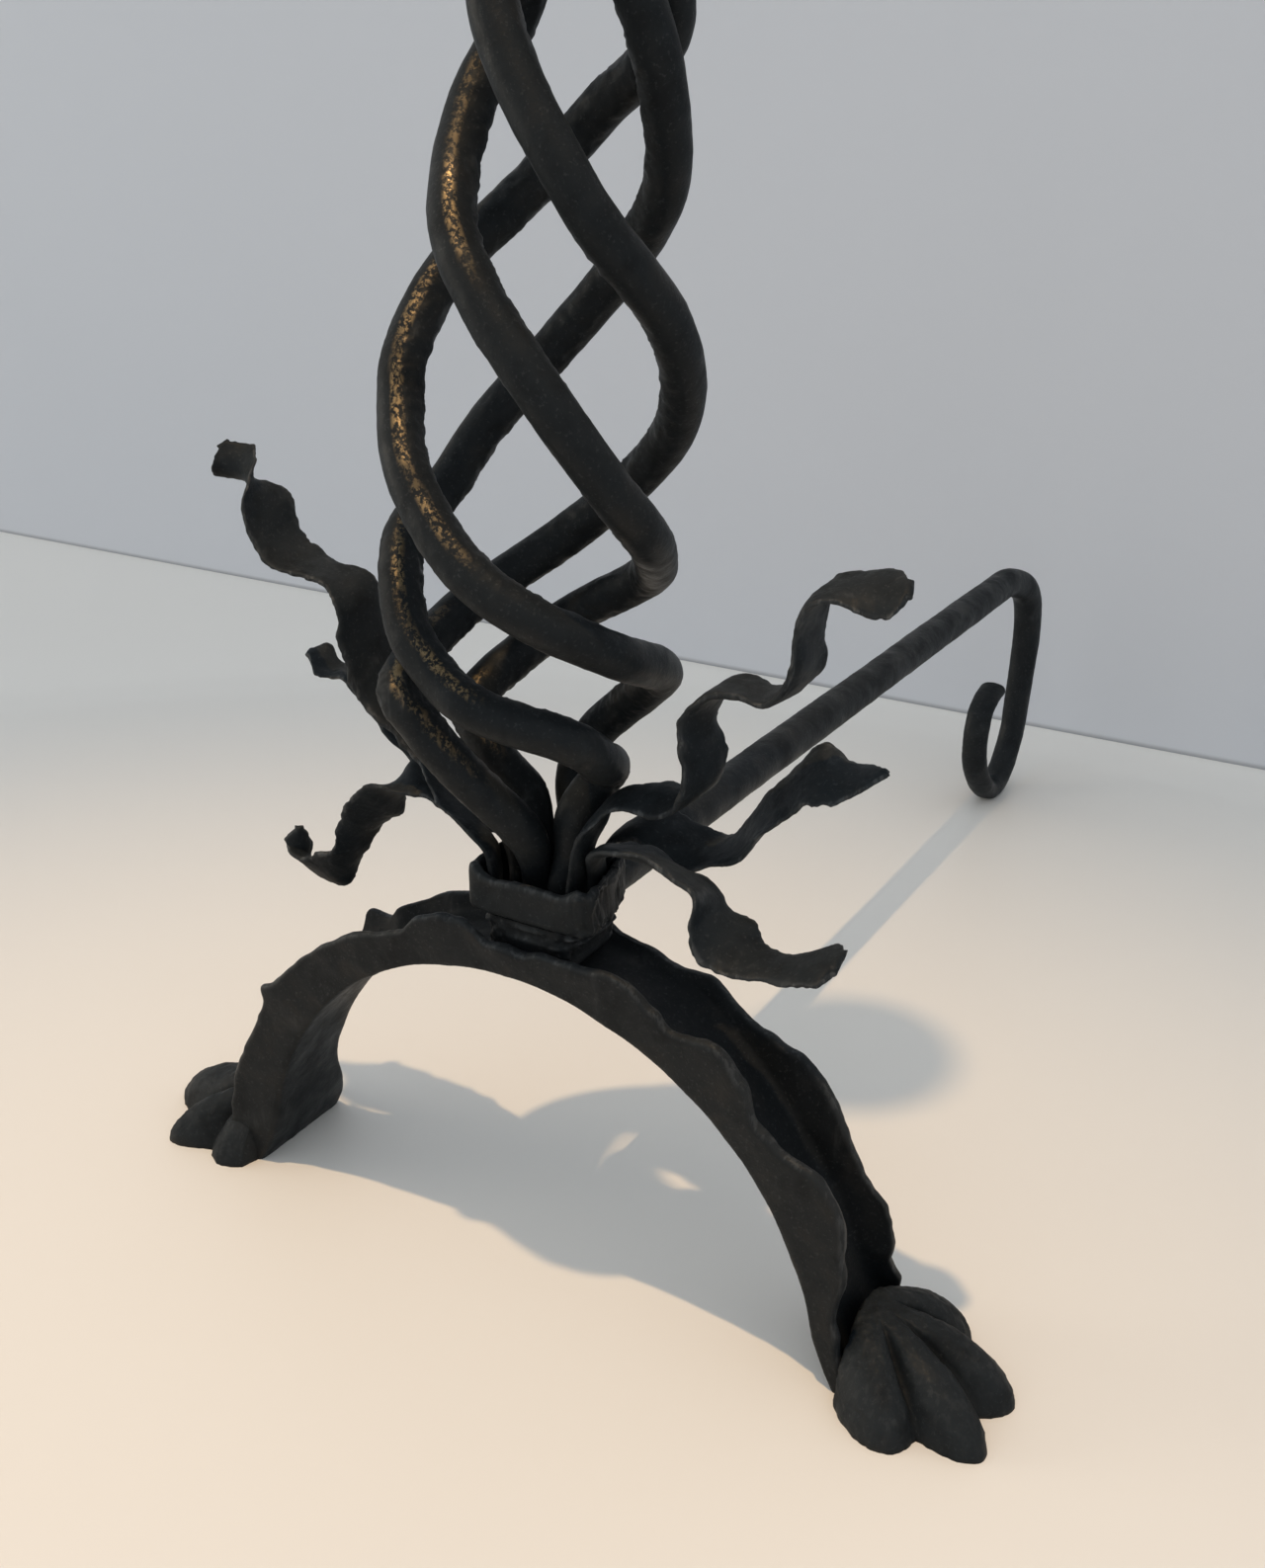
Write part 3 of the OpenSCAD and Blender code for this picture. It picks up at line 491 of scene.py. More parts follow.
def arch_outline(turn):
    """The channel's outline at each angle: web, two wavy flanges that lean outwards, and rounded corners."""
    spot = np.stack([turn / 2.2, turn * 0, turn * 0], -1)
    front = flange_edge(turn, FRONT_EDGE, 0.5 * swell(spot, 1.3, 3), FRONT_BURRS)
    rear = flange_edge(turn, REAR_EDGE, 0.6 * swell(spot, 1.1, 8), REAR_BURRS)
    width = ARCH_DEPTH - LEG_WAIST * ease((abs(turn) - 20) / 35)
    width = width + (LEG_WAIST + FOOT_SPREAD) * ease((abs(turn) - 68) / 22)
    under = 0 * turn
    near, far, plate = ARCH_FRONT + under, ARCH_FRONT + width, ARCH_PLATE + under
    fore = FLANGE_LEAN * front / FLANGE_HEIGHT + 0.9 * swell(spot, 3.4, 21)
    aft = FLANGE_LEAN * rear / FLANGE_HEIGHT + 1.1 * swell(spot, 3.1, 24)
    corners = [
        (under, near + 1), (under + 1, near), (front - 1, near - fore), (front, near + 1 - fore),
        (front, near + plate - fore - 1), (plate + 2, near + plate), (plate, near + plate + 2),
        (plate, far - plate - 2), (plate + 2, far - plate), (rear, far - plate + aft + 1),
        (rear, far + aft - 1), (rear - 1, far + aft), (under + 1, far), (under, far - 1),
    ]
    corners = np.array(corners).transpose(2, 0, 1)
    after = np.roll(corners, -1, 1)
    stretches = [
        mix(corners[:, k, None], after[:, k, None], (np.arange(count) / count)[None, :, None])
        for k, count in enumerate(OUTLINE_SAMPLES)
    ]
    outline = np.concatenate(stretches, 1)
    for _ in range(2):
        outline = (np.roll(outline, 1, 1) + 2 * outline + np.roll(outline, -1, 1)) / 4
    return outline


def on_stretches(stretches):
    """1 on those stretches of the outline and 0 elsewhere, blurred over a sample each way."""
    kind = np.repeat(np.arange(len(OUTLINE_SAMPLES)), OUTLINE_SAMPLES)
    share = np.isin(kind, stretches).astype(float)
    return np.convolve(np.tile(share, 3), [0.25, 0.5, 0.25], "same")[len(share):-len(share)]


def arch_surface():
    """Channel carried round half an ellipse with flared feet; each outline stands square to the curve."""
    turn = np.linspace(-90, 90, 441)
    angle = np.radians(turn)
    z = ARCH_RISE * np.cos(angle)
    x = ARCH_HALF * np.sin(angle) - CROWN_SHIFT * np.cos(angle) ** 2
    x = x + np.sign(turn) * LEG_FLARE * np.clip(1 - z / FLARE_HEIGHT, 0, 1) ** 2
    out = unit(np.stack([ARCH_RISE * np.sin(angle), ARCH_HALF * np.cos(angle)], -1))
    outline = arch_outline(turn)
    high = outline[..., 0]
    grid = np.stack([x[:, None] + out[:, :1] * high, outline[..., 1], z[:, None] + out[:, 1:] * high], -1)
    inside, lip = on_stretches(INSIDE_STRETCHES), on_stretches(LIP_STRETCHES)
    grid, ridge = forged(grid, 31, mark=0.7, size=17.0, wave=0.8, grain=0.07)
    deep = inside * (1.3 * dents(grid, 21.0, 35) - 0.5) + 0.25 * lip * swell(grid, 3.0, 37)
    grid = grid + facing(grid) * deep[..., None]
    grid[..., 2] = np.maximum(grid[..., 2], 0.0)
    # Painted shade inside the channel
    marks = {"edge": lip**2 * 0.55 + 0.2 * ridge, "hollow_shade": 0.8 * inside * np.ones(grid.shape[:2])}
    return grid, marks


# --- Paws


def paw_surface(toes, reach, mirror, seed):
    """Domed skin over the toes' ellipses: the farthest ellipse in each direction.

    A furrow runs where two ellipses meet, in a wider and shallower saddle.
    """
    turn = np.radians(np.linspace(180, -180, 300, endpoint=False))
    share = np.concatenate([np.linspace(1, 0.9, 16), np.linspace(0.885, 0.04, 56)])
    edges = []
    for lean, length, width in toes:
        long = length * reach * TOE_HALF
        centre = length * reach - long
        wide = width * TOE_WIDTH / 2
        aside = turn - math.radians(lean)
        cosine, sine = np.cos(aside), np.sin(aside)
        root = np.sqrt((wide * cosine) ** 2 + (long * long - centre * centre) * sine**2)
        far = centre * wide * wide * cosine + long * wide * root
        edges.append(far / ((wide * cosine) ** 2 + (long * sine) ** 2))
    second, edge = np.sort(np.array(edges), axis=0)[-2:]
    furrow = np.exp(-(edge - second) / FURROW_WIDTH) * (edge > HEEL_RADIUS)
    saddle = np.exp(-(edge - second) / SADDLE_WIDTH) * (edge > HEEL_RADIUS)
    s = share[:, None]
    r = np.maximum(edge, HEEL_RADIUS)[None] * s
    z = PAW_HEIGHT * (1 - s**2.4) ** 0.62
    z = z * (1 - SADDLE_DEPTH * saddle * ease((s - 0.2) / 0.5))
    z = z - FURROW_DEPTH * furrow * ease((s - 0.25) / 0.3) * (1 - s**6)
    x = r * np.cos(turn) * np.where(np.cos(turn) < 0, HEEL_SQUASH, 1) + ARCH_SPAN / 2 + HEEL_OUT
    grid = np.stack([mirror * x, HEEL_Y + r * np.sin(turn), np.maximum(z, 0) + 0 * r], -1)
    grid, ridge = forged(grid, seed, mark=0.65, size=12.0, wave=0.9, grain=0.14, rough=0.22)
    grid[..., 2] = np.where(s >= 0.999, 0.0, np.maximum(grid[..., 2], 0.0))
    # Painted shade in the furrows between the toes
    marks = {
        "edge": 0.15 * ridge + 0.15 * (1 - saddle) * bell(s, 0.8, 0.2),
        "hollow_shade": furrow * ease((s - 0.2) / 0.3) * np.ones_like(r),
    }
    return grid, marks


# --- Collar


def collar_plan(turn, inset):
    """Rounded square in plan: half the width times a low power of the cosine, narrowing to the back."""
    hx, hy = COLLAR_WIDTH / 2 - inset, COLLAR_DEPTH / 2 - inset
    x, y = hx * rounded(np.cos(turn), 0.24), hy * rounded(np.sin(turn), 0.24)
    back = np.clip((y / hy + 0.6) / 1.6, 0, 1)
    return x * (1 - 0.3 * back**2), y + (COLLAR_FRONT + COLLAR_BACK) / 2


def collar_surface():
    """Band round the plan: a tall thin outline with a rolled rim.

    Its front has two dished marks and its right side is folded.
    """
    turn = circle(1440)
    x, y = collar_plan(turn, 0)
    run = np.cumsum(np.hypot(*(np.roll(q, -1) - q for q in (x, y))))
    even = np.linspace(0, run[-1], 360, endpoint=False)
    turn = np.interp(even, np.concatenate([[0], run]), np.append(turn, 2 * np.pi))
    (outer_x, outer_y), (inner_x, inner_y) = (collar_plan(turn, inset) for inset in (0, COLLAR_WALL))
    rim = COLLAR_Z + COLLAR_HEIGHT + RIM_RISE * np.cos(turn) ** 4 + np.sin(5 * turn + math.radians(40))
    around = np.stack([outer_x, outer_y, 0 * outer_x], -1)
    rim = rim + 0.8 * swell(around, 7.0, 59) + 0.3 * swell(around, 2.5, 60)
    wall = circle(72)
    thick, high = rounded(np.cos(wall), 0.6) / 2 + 0.5, rounded(np.sin(wall), 0.3) / 2 + 0.5
    low = COLLAR_Z + 0.3
    grid = np.stack(
        [
            mix(inner_x[:, None], outer_x[:, None], thick),
            mix(inner_y[:, None], outer_y[:, None], thick),
            mix(low, rim[:, None], high),
        ],
        -1,
    )
    right = bell(grid[..., 0], COLLAR_WIDTH / 2, 7.0)
    grid, ridge = forged(grid, 51, mark=0.25, size=10.0, wave=0.35, grain=0.05, loop=True)
    normal = facing(grid, True)
    x, y, z = np.moveaxis(grid, -1, 0)
    dish = sum(deep * bell(x, *across) * bell(z, *up) for deep, across, up in COLLAR_DISHES)
    fold = bell(y, -9, 4.5) * bell(z, 145, 4.5)
    crumple = 0.9 * swell(grid, 4.0, 57) + 0.6 * swell(grid, 1.6, 58) + 0.35 * swell(grid, 0.8, 61)
    lift = -1.3 * dish * (normal[..., 1] < -0.5) - 1.8 * right * fold
    lift = lift + right * crumple
    grid = grid + normal * lift[..., None]
    top = ease((high - 0.8) / 0.2) * np.ones(grid.shape[:2])
    # Painted shade on the inner face of the band
    return grid, {"edge": 0.6 * top + 0.35 * right * ridge, "hollow_shade": (thick < 0.3) * 1.0 + 0 * top}


def core_surface():
    """Block under the collar and the tenon below it: rounded squares and circles stacked up.

    The weld has torn its sides and left seams round them.
    """
    foot, edge = SEAT_Z + 0.1, SEAT_Z + 3
    half, front, back = CORE_WIDTH / 2, CORE_FRONT, CORE_BACK
    # Height, half the width, front, back, power of the cosine: 1 is round, 0.24 nearly square
    rows = [
        (WASHER_Z - 2.8, 4, -4, 4, 1), (WASHER_Z - 2.4, 6.5, -6.5, 6.5, 1), (WASHER_Z - 0.1, 9, -9, 9, 1),
        (WASHER_Z, 6, -6, 6, 1), (foot - 0.1, 6, -6, 6, 1), (foot, half - 2, front + 2, back - 2, 0.24),
        (edge, half, front, back, 0.24), (COLLAR_Z, half, front, back, 0.24),
        (COLLAR_Z + 0.2, half - 1, STEP_FRONT, STEP_BACK, 0.24),
        (FOOT_Z - 0.1, half - 2, STEP_FRONT + 1, STEP_BACK - 1, 0.24),
    ]
    rows = np.array(rows, float)
    counts = (2, 6, 4, 8, 14, 8, 44, 10, 8)
    steps = [mix(rows[k], rows[k + 1], (np.arange(c) / c)[:, None]) for k, c in enumerate(counts)]
    rows = np.concatenate([*steps, rows[-1:]])
    turn = circle(220)
    z, half, front, back, power = (rows[:, k, None] for k in range(5))
    x = half * rounded(np.cos(turn), power)
    y = (front + back) / 2 + (back - front) / 2 * rounded(np.sin(turn), power)
    grid = np.stack([x, y, z + 0 * turn], -1)
    torn = ease((z - edge + 1) / 3) * ease((COLLAR_Z + 1 - z) / 2)
    seam = bell(z, COLLAR_Z - 2.5 + 0.8 * swell(grid, 9.0, 55), 0.9)
    seam = seam + bell(z, COLLAR_Z - 6 + swell(grid, 7.0, 56), 0.8)
    seam = seam * ease((swell(grid, 6.0, 57) + 0.5) / 0.6)
    lift = torn * (0.9 * swell(grid, 4.0, 52) + 0.6 * swell(grid, 1.8, 53) - 0.8 + 1.3 * seam)
    grid = grid + facing(grid) * lift[..., None]
    # Painted shade over the block under the collar, except on its seams
    return grid, {"edge": torn * seam, "hollow_shade": 1 - 0.8 * np.clip(seam, 0, 1) + 0 * torn}


# --- Basket


def bunched(number, radius, turn, z):
    """Place of a bar's end in its square bunch, a quarter turn from the next bar."""
    angle = math.radians(turn - 90 * number)
    return (radius * math.cos(angle), radius * math.sin(angle), z)


def bar_path(number):
    """A bar's stations from foot to top: radius and turn round the axis, pushed aside by a squared sine."""
    h, turn, share = np.array(BARS[number], float).T
    h = h / 100
    r, angle = share / 100 * BASKET_RADIUS, np.radians(turn)
    sway = BASKET_SWAY * np.sin(np.pi * np.clip((h - 0.04) / 0.66, 0, 1)) ** 2
    aside = math.radians(SWAY_TURN)
    x = r * np.cos(angle) + sway * math.cos(aside)
    y = r * np.sin(angle) + sway * math.sin(aside)
    middle = np.stack([x, y, FOOT_Z + h * BASKET_HEIGHT], -1)
    foot = [bunched(number, FOOT_BUNCH, 225, FOOT_Z + z) for z in (0, 6)]
    top = [bunched(number, TOP_BUNCH, -185, TOP_Z - RING_HEIGHT + z) for z in (0, RING_HEIGHT)]
    return np.concatenate([foot, middle, top])


def bar_surface(number):
    """Round bar drawn out at both ends, knobbly at its sharp bends and pitted by the forge."""
    stations = bar_path(number)
    path = along(stations, np.linspace(0, len(stations) - 1, (len(stations) - 1) * 26 + 1))
    z = path[:, 2]
    radius = mix(BAR_FOOT_DIAMETER, BAR_DIAMETER, ease((z - FOOT_Z - 6) / 22)) / 2
    radius = radius - (BAR_DIAMETER - BAR_TOP_DIAMETER) / 2 * ease((z - TOP_Z + RING_HEIGHT + 30) / 30)
    tangent = unit(np.gradient(path, axis=0))
    step = np.linalg.norm(np.gradient(path, axis=0), axis=-1)
    bend = np.linalg.norm(np.gradient(tangent, axis=0), axis=-1) / step
    bend = np.convolve(bend, np.ones(15) / 15, "same")
    elbow = ease((bend - 0.045) / 0.05) * ease((z - FOOT_Z - 12) / 10)
    aside = math.radians(SWAY_TURN)
    grid = tube(path, radius, radius, (math.cos(aside), math.sin(aside), 0.1), 44)
    clean, ridge = forged(grid, 71 + number, mark=0.3, size=10.0, wave=0.18, grain=0.05)
    rough, _ = forged(grid, 71 + number, mark=0.4, size=7.0, wave=0.3, grain=0.1, rough=0.5)
    knobs = ease((swell(grid, 26.0, 81 + number) - 0.25) / 0.4)
    normal = facing(grid)
    out = unit(grid * (1, 1, 0))
    inward = ease((0.1 - (normal * out).sum(-1)) / 0.5) * ease((z[:, None] - FOOT_Z - 30) / 30)
    blend = np.clip(elbow[:, None] + 0.4 * knobs + 0.8 * inward, 0, 1)
    grid = mix(clean, rough, blend[..., None])
    marks = {
        "edge": 0.3 * ridge * blend + 0.3 * elbow[:, None],
        # Painted shade at the bars' feet; the rub strip paints the lamp's highlight
        "hollow_shade": ease((FOOT_Z + 20 - grid[..., 2]) / 20),
        "rub_highlight": rub_highlight_share(grid, normal, tangent),
    }
    return grid, marks


def rub_highlight_share(grid, normal, tangent):
    """How far hands have rubbed a bar, painted where the lamp's highlight falls: a thin broken strip along
    it, on the belly's left front.
    """
    left = np.array((-math.cos(RUB_HIGHLIGHT_TURN), -math.sin(RUB_HIGHLIGHT_TURN), 0))
    front = np.array((math.sin(RUB_HIGHLIGHT_TURN), -math.cos(RUB_HIGHLIGHT_TURN), 0))
    highlit_side = unit(np.array(LAMP_HIGHLIGHT_FACING))
    towards = unit(highlit_side - tangent * (tangent @ highlit_side)[:, None])
    # The strip is a painted highlight: it faces halfway between the camera and the lamp
    strip = ease(((normal * towards[:, None]).sum(-1) - 0.95) / 0.04)
    patch = ease((swell(grid, 17.0, 91) + 0.5 * swell(grid, 6.0, 92) + 0.3) / 0.6)
    belly = ease((grid[..., 2] - FOOT_Z - 42) / 20) * ease((grid @ left - 10) / 14)
    belly = belly * ease((grid @ front + 14) / 10)
    return strip * belly * (0.28 + 0.42 * patch)


# --- Leaves


def leaf_surface(side, width, stations, seed):
    """Flat bar carried from root to tip, thinned at its edges and cupped.

    Each edge is ruffled by a sine along it, and the rim is ragged.
    """
    stations = np.array(stations, float)
    count = (len(stations) - 1) * 14 + 1
    t = np.linspace(0, len(stations) - 1, count)
    centre = along(np.stack([side * stations[:, 0], stations[:, 1], FOOT_Z + stations[:, 2]], -1), t)
    turn, tilt = np.radians(stations[:, 3]), np.radians(stations[:, 4])
    wide = np.stack([np.cos(tilt) * np.cos(turn), np.cos(tilt) * np.sin(turn), np.sin(tilt)], -1)
    smooth = along(np.concatenate([wide, stations[:, 5:]], 1), t)
    across, share = unit(smooth[:, :3]), smooth[:, 3]
    tangent = unit(np.gradient(centre, axis=0))
    normal = unit(np.cross(tangent, across))
    run = np.concatenate([[0], np.cumsum(np.linalg.norm(np.diff(centre, axis=0), axis=-1))])
    half = share * width / 2 * np.sqrt(1 - np.clip((run - run[-1] + 7) / 7.6, 0, 1) ** 2)
    tip = np.radians([25, 45, 62, 78])
    past = TIP_REACH * np.sin(tip)
    centre = np.concatenate([centre, centre[-1] + tangent[-1] * past[:, None]])
    across, normal = (np.concatenate([k, np.repeat(k[-1:], len(tip), 0)]) for k in (across, normal))
    half = np.concatenate([half, half[-1] * (1 - 0.12 * (1 - np.cos(tip)))])
    thick = np.concatenate([np.full(count, 1.0), np.cos(tip)]) * LEAF_THICKNESS / 2
    run = np.concatenate([run, run[-1] + past])
    around = circle(72)
    x, y = rounded(np.cos(around), 0.42), rounded(np.sin(around), 0.5)
    free = ease((run - 18) / 20)[:, None]
    phase = seed * 1.7
    ruffle = 0.8 * np.sin(run / 3.1 + phase)[:, None] * np.maximum(x, 0) ** 3
    ruffle = ruffle - 0.7 * np.sin(run / 3.7 + 2 * phase)[:, None] * np.maximum(-x, 0) ** 3
    cup = 1.1 * np.sin(run / 19 + phase)[:, None] * (x**2 - 0.35)
    lift = thick[:, None] * y * (1 - 0.42 * x**2) + free * (ruffle + cup)
    sideways = half[:, None] * x + free * 0.35 * np.sin(run / 2.3 + seed)[:, None] * x**3
    grid = centre[:, None] + across[:, None] * sideways[..., None] + normal[:, None] * lift[..., None]
    ragged = free * x**5 * (0.8 * swell(grid, 2.8, seed + 31) + 0.4 * swell(grid, 1.3, seed + 32))
    grid = grid + across[:, None] * ragged[..., None]
    grid, ridge = forged(grid, seed, mark=0.35, size=8.0, wave=0.25, grain=0.1, rough=0.08)
    rim = ease((np.abs(x) - 0.86) / 0.12) * np.ones(grid.shape[:2])
    # Painted shade at the leaf's root by the collar
    marks = {"edge": 0.75 * rim * free + 0.3 * ridge, "hollow_shade": 1 - ease((run - 12) / 14)[:, None] + 0 * rim}
    return grid, marks


# --- Billet bar


def billet_surface():
    """Round bar, straight for most of its length, then thinned through the bend, leg and scroll."""
    start = max(COLLAR_BACK, CORE_BACK) + 0.4
    bend = BILLET_LENGTH - 60
    length, height = BILLET_LENGTH, BILLET_HEIGHT
    yz = [
        (bend - 4, height), (bend + 8, height), (length - 34, height), (length - 10, height - 9),
        (length, height - 26), (LEG_BACK, height * 0.6), (SCROLL_BACK, height * 0.38),
        (SCROLL_BACK - 4, height * 0.22), (SCROLL_BACK - 17, BILLET_R + 4),
        (mix(SCROLL_FRONT, SCROLL_BACK, 0.58), BILLET_R * 0.66),
        (mix(SCROLL_FRONT, SCROLL_BACK, 0.34), BILLET_R + 2), (SCROLL_FRONT + 6, SCROLL_HEIGHT * 0.4),
        (SCROLL_FRONT, SCROLL_HEIGHT * 0.64), (SCROLL_FRONT + 3, SCROLL_HEIGHT * 0.86),
        (SCROLL_FRONT + 12, SCROLL_HEIGHT - 3), (SCROLL_FRONT + 24, SCROLL_HEIGHT),
    ]
    lean = LEG_LEAN * ease((np.arange(len(yz)) - 1) / 3)
    stations = np.column_stack([lean, yz])
    t = np.linspace(0, len(yz) - 1, (len(yz) - 1) * 22 + 1)
    rear = along(stations, t)
    straight = np.linspace(start, bend - 4.8, 300)
    straight = np.stack([0 * straight, straight, 0 * straight + height], -1)
    path = np.concatenate([straight, rear])
    share = np.concatenate([np.zeros(len(straight)), t / t[-1]])
    tall = BILLET_R * mix(1, 0.5, ease((share - 0.3) / 0.7))
    wide = BILLET_R * mix(1, 0.9, ease((share - 0.2) / 0.3))
    grid = tube(path, wide, tall, (1, 0, 0), 52, reach=3.5, square=0.92)
    grid, ridge = forged(grid, 111, mark=0.35, size=15.0, wave=0.3, grain=0.08)
    grid[..., 2] = np.maximum(grid[..., 2], 0.0)
    # Painted shade at the bar's front end by the core block
    marks = {"edge": 0.3 * ridge, "hollow_shade": ease((start + 14 - grid[..., 1]) / 14)}
    return grid, marks


# --- Top of the column


def turned(profile, seed, size, mark):
    """Outline of radius and height turned round the axis, then beaten."""
    r, z = np.asarray(profile, float).T
    angle = circle(200)
    grid = np.stack([r[:, None] * np.cos(angle), r[:, None] * np.sin(angle), z[:, None] + 0 * angle], -1)
    return forged(grid, seed, mark=mark, size=size, wave=0.2, grain=0.06)


def ring_surface():
    """Band with a rounded rectangle for its outline, closed on itself round the axis."""
    angle, wall = circle(240), circle(64)
    r = RING_INNER + RING_WALL / 2 + RING_WALL / 2 * rounded(np.cos(wall), 0.5)
    z = TOP_Z - RING_HEIGHT / 2 + RING_HEIGHT / 2 * rounded(np.sin(wall), 0.28)
    grid = np.stack([np.cos(angle)[:, None] * r, np.sin(angle)[:, None] * r, z + 0 * angle[:, None]], -1)
    grid, ridge = forged(grid, 121, mark=0.3, size=8.0, wave=0.1, grain=0.06, loop=True)
    rim = ease((np.abs(z - TOP_Z + RING_HEIGHT / 2) - RING_HEIGHT / 2 + 1.6) / 1.4)
    return grid, {"edge": 0.6 * rim + 0.3 * ridge}


def finial_surface():
    """Foot, long stem and beaten ball, turned round the axis.

    The radius goes in eased steps up the stem, then follows a circle's arc.
    """
    foot = RING_INNER + RING_WALL * 0.6
    stem, radius = STEM_DIAMETER / 2, BALL_DIAMETER / 2
    ball = FINIAL_HEIGHT - radius
    join = math.asin(NECK_SHARE)
    rim = np.linspace(-np.pi / 2, np.pi / 2, 14)
    outline = [(foot - 6, 0)]
    outline += [(foot - 2 + 2 * math.cos(k), 2 + 2 * math.sin(k)) for k in rim]
    low, high = 5.0, ball - radius * math.cos(join)
    z = np.linspace(low, high, 190)
    r = stem + (foot * 0.8 - stem) * (1 - ease((z - low) / 24))
    r = r + (radius * NECK_SHARE - stem) * ease((z - high + 22) / 22)
    outline += list(zip(r.tolist(), z.tolist()))
    arc = np.linspace(math.pi - join, 0.02, 120)[1:]
    outline += [(radius * math.sin(k), ball + radius * math.cos(k)) for k in arc]
    grid, ridge = turned(np.array(outline) + (0, TOP_Z), 131, 10.0, 0.45)
    return grid, {"edge": 0.4 * ridge}


# --- Finishes


def node_at(tree, kind, x, y, **values):
    """A node of that kind, placed in the tree, with its unlinked inputs set by name."""
    node = tree.nodes.new(kind)
    node.location = (x, y)
    for key, value in values.items():
        if hasattr(node, key):
            setattr(node, key, value)
        else:
            node.inputs[key.replace("_", " ").title()].default_value = value
    return node


def ramp_at(tree, x, y, low, high, to_low=0.0, to_high=1.0):
    """A smooth step node: to_low up to the low number, to_high from the high one."""
    node = node_at(tree, "ShaderNodeMapRange", x, y, interpolation_type="SMOOTHSTEP")
    for key, number in (("From Min", low), ("From Max", high), ("To Min", to_low), ("To Max", to_high)):
        node.inputs[key].default_value = number
    return node


def blend_at(tree, x, y, factor, first, second):
    """Result of a colour mix node, where each colour is a socket to link or a value to set."""
    node = node_at(tree, "ShaderNodeMix", x, y, data_type="RGBA")
    tree.links.new(factor, node.inputs["Factor"])
    for number, colour in ((MIX_FIRST, first), (MIX_SECOND, second)):
        if isinstance(colour, tuple):
            node.inputs[number].default_value = colour
        else:
            tree.links.new(colour, node.inputs[number])
    return node.outputs[MIX_RESULT]


def wire(tree, *links):
    """Links a node's output to another node's input, each socket by its name or number."""
    for start, output, end, entry in links:
        tree.links.new(start.outputs[output], end.inputs[entry])


def fresh_material(name):
    """A new material, its node tree and its shader."""
    material = bpy.data.materials.new(name)
    material.use_nodes = True
    return material, material.node_tree, material.node_tree.nodes["Principled BSDF"]


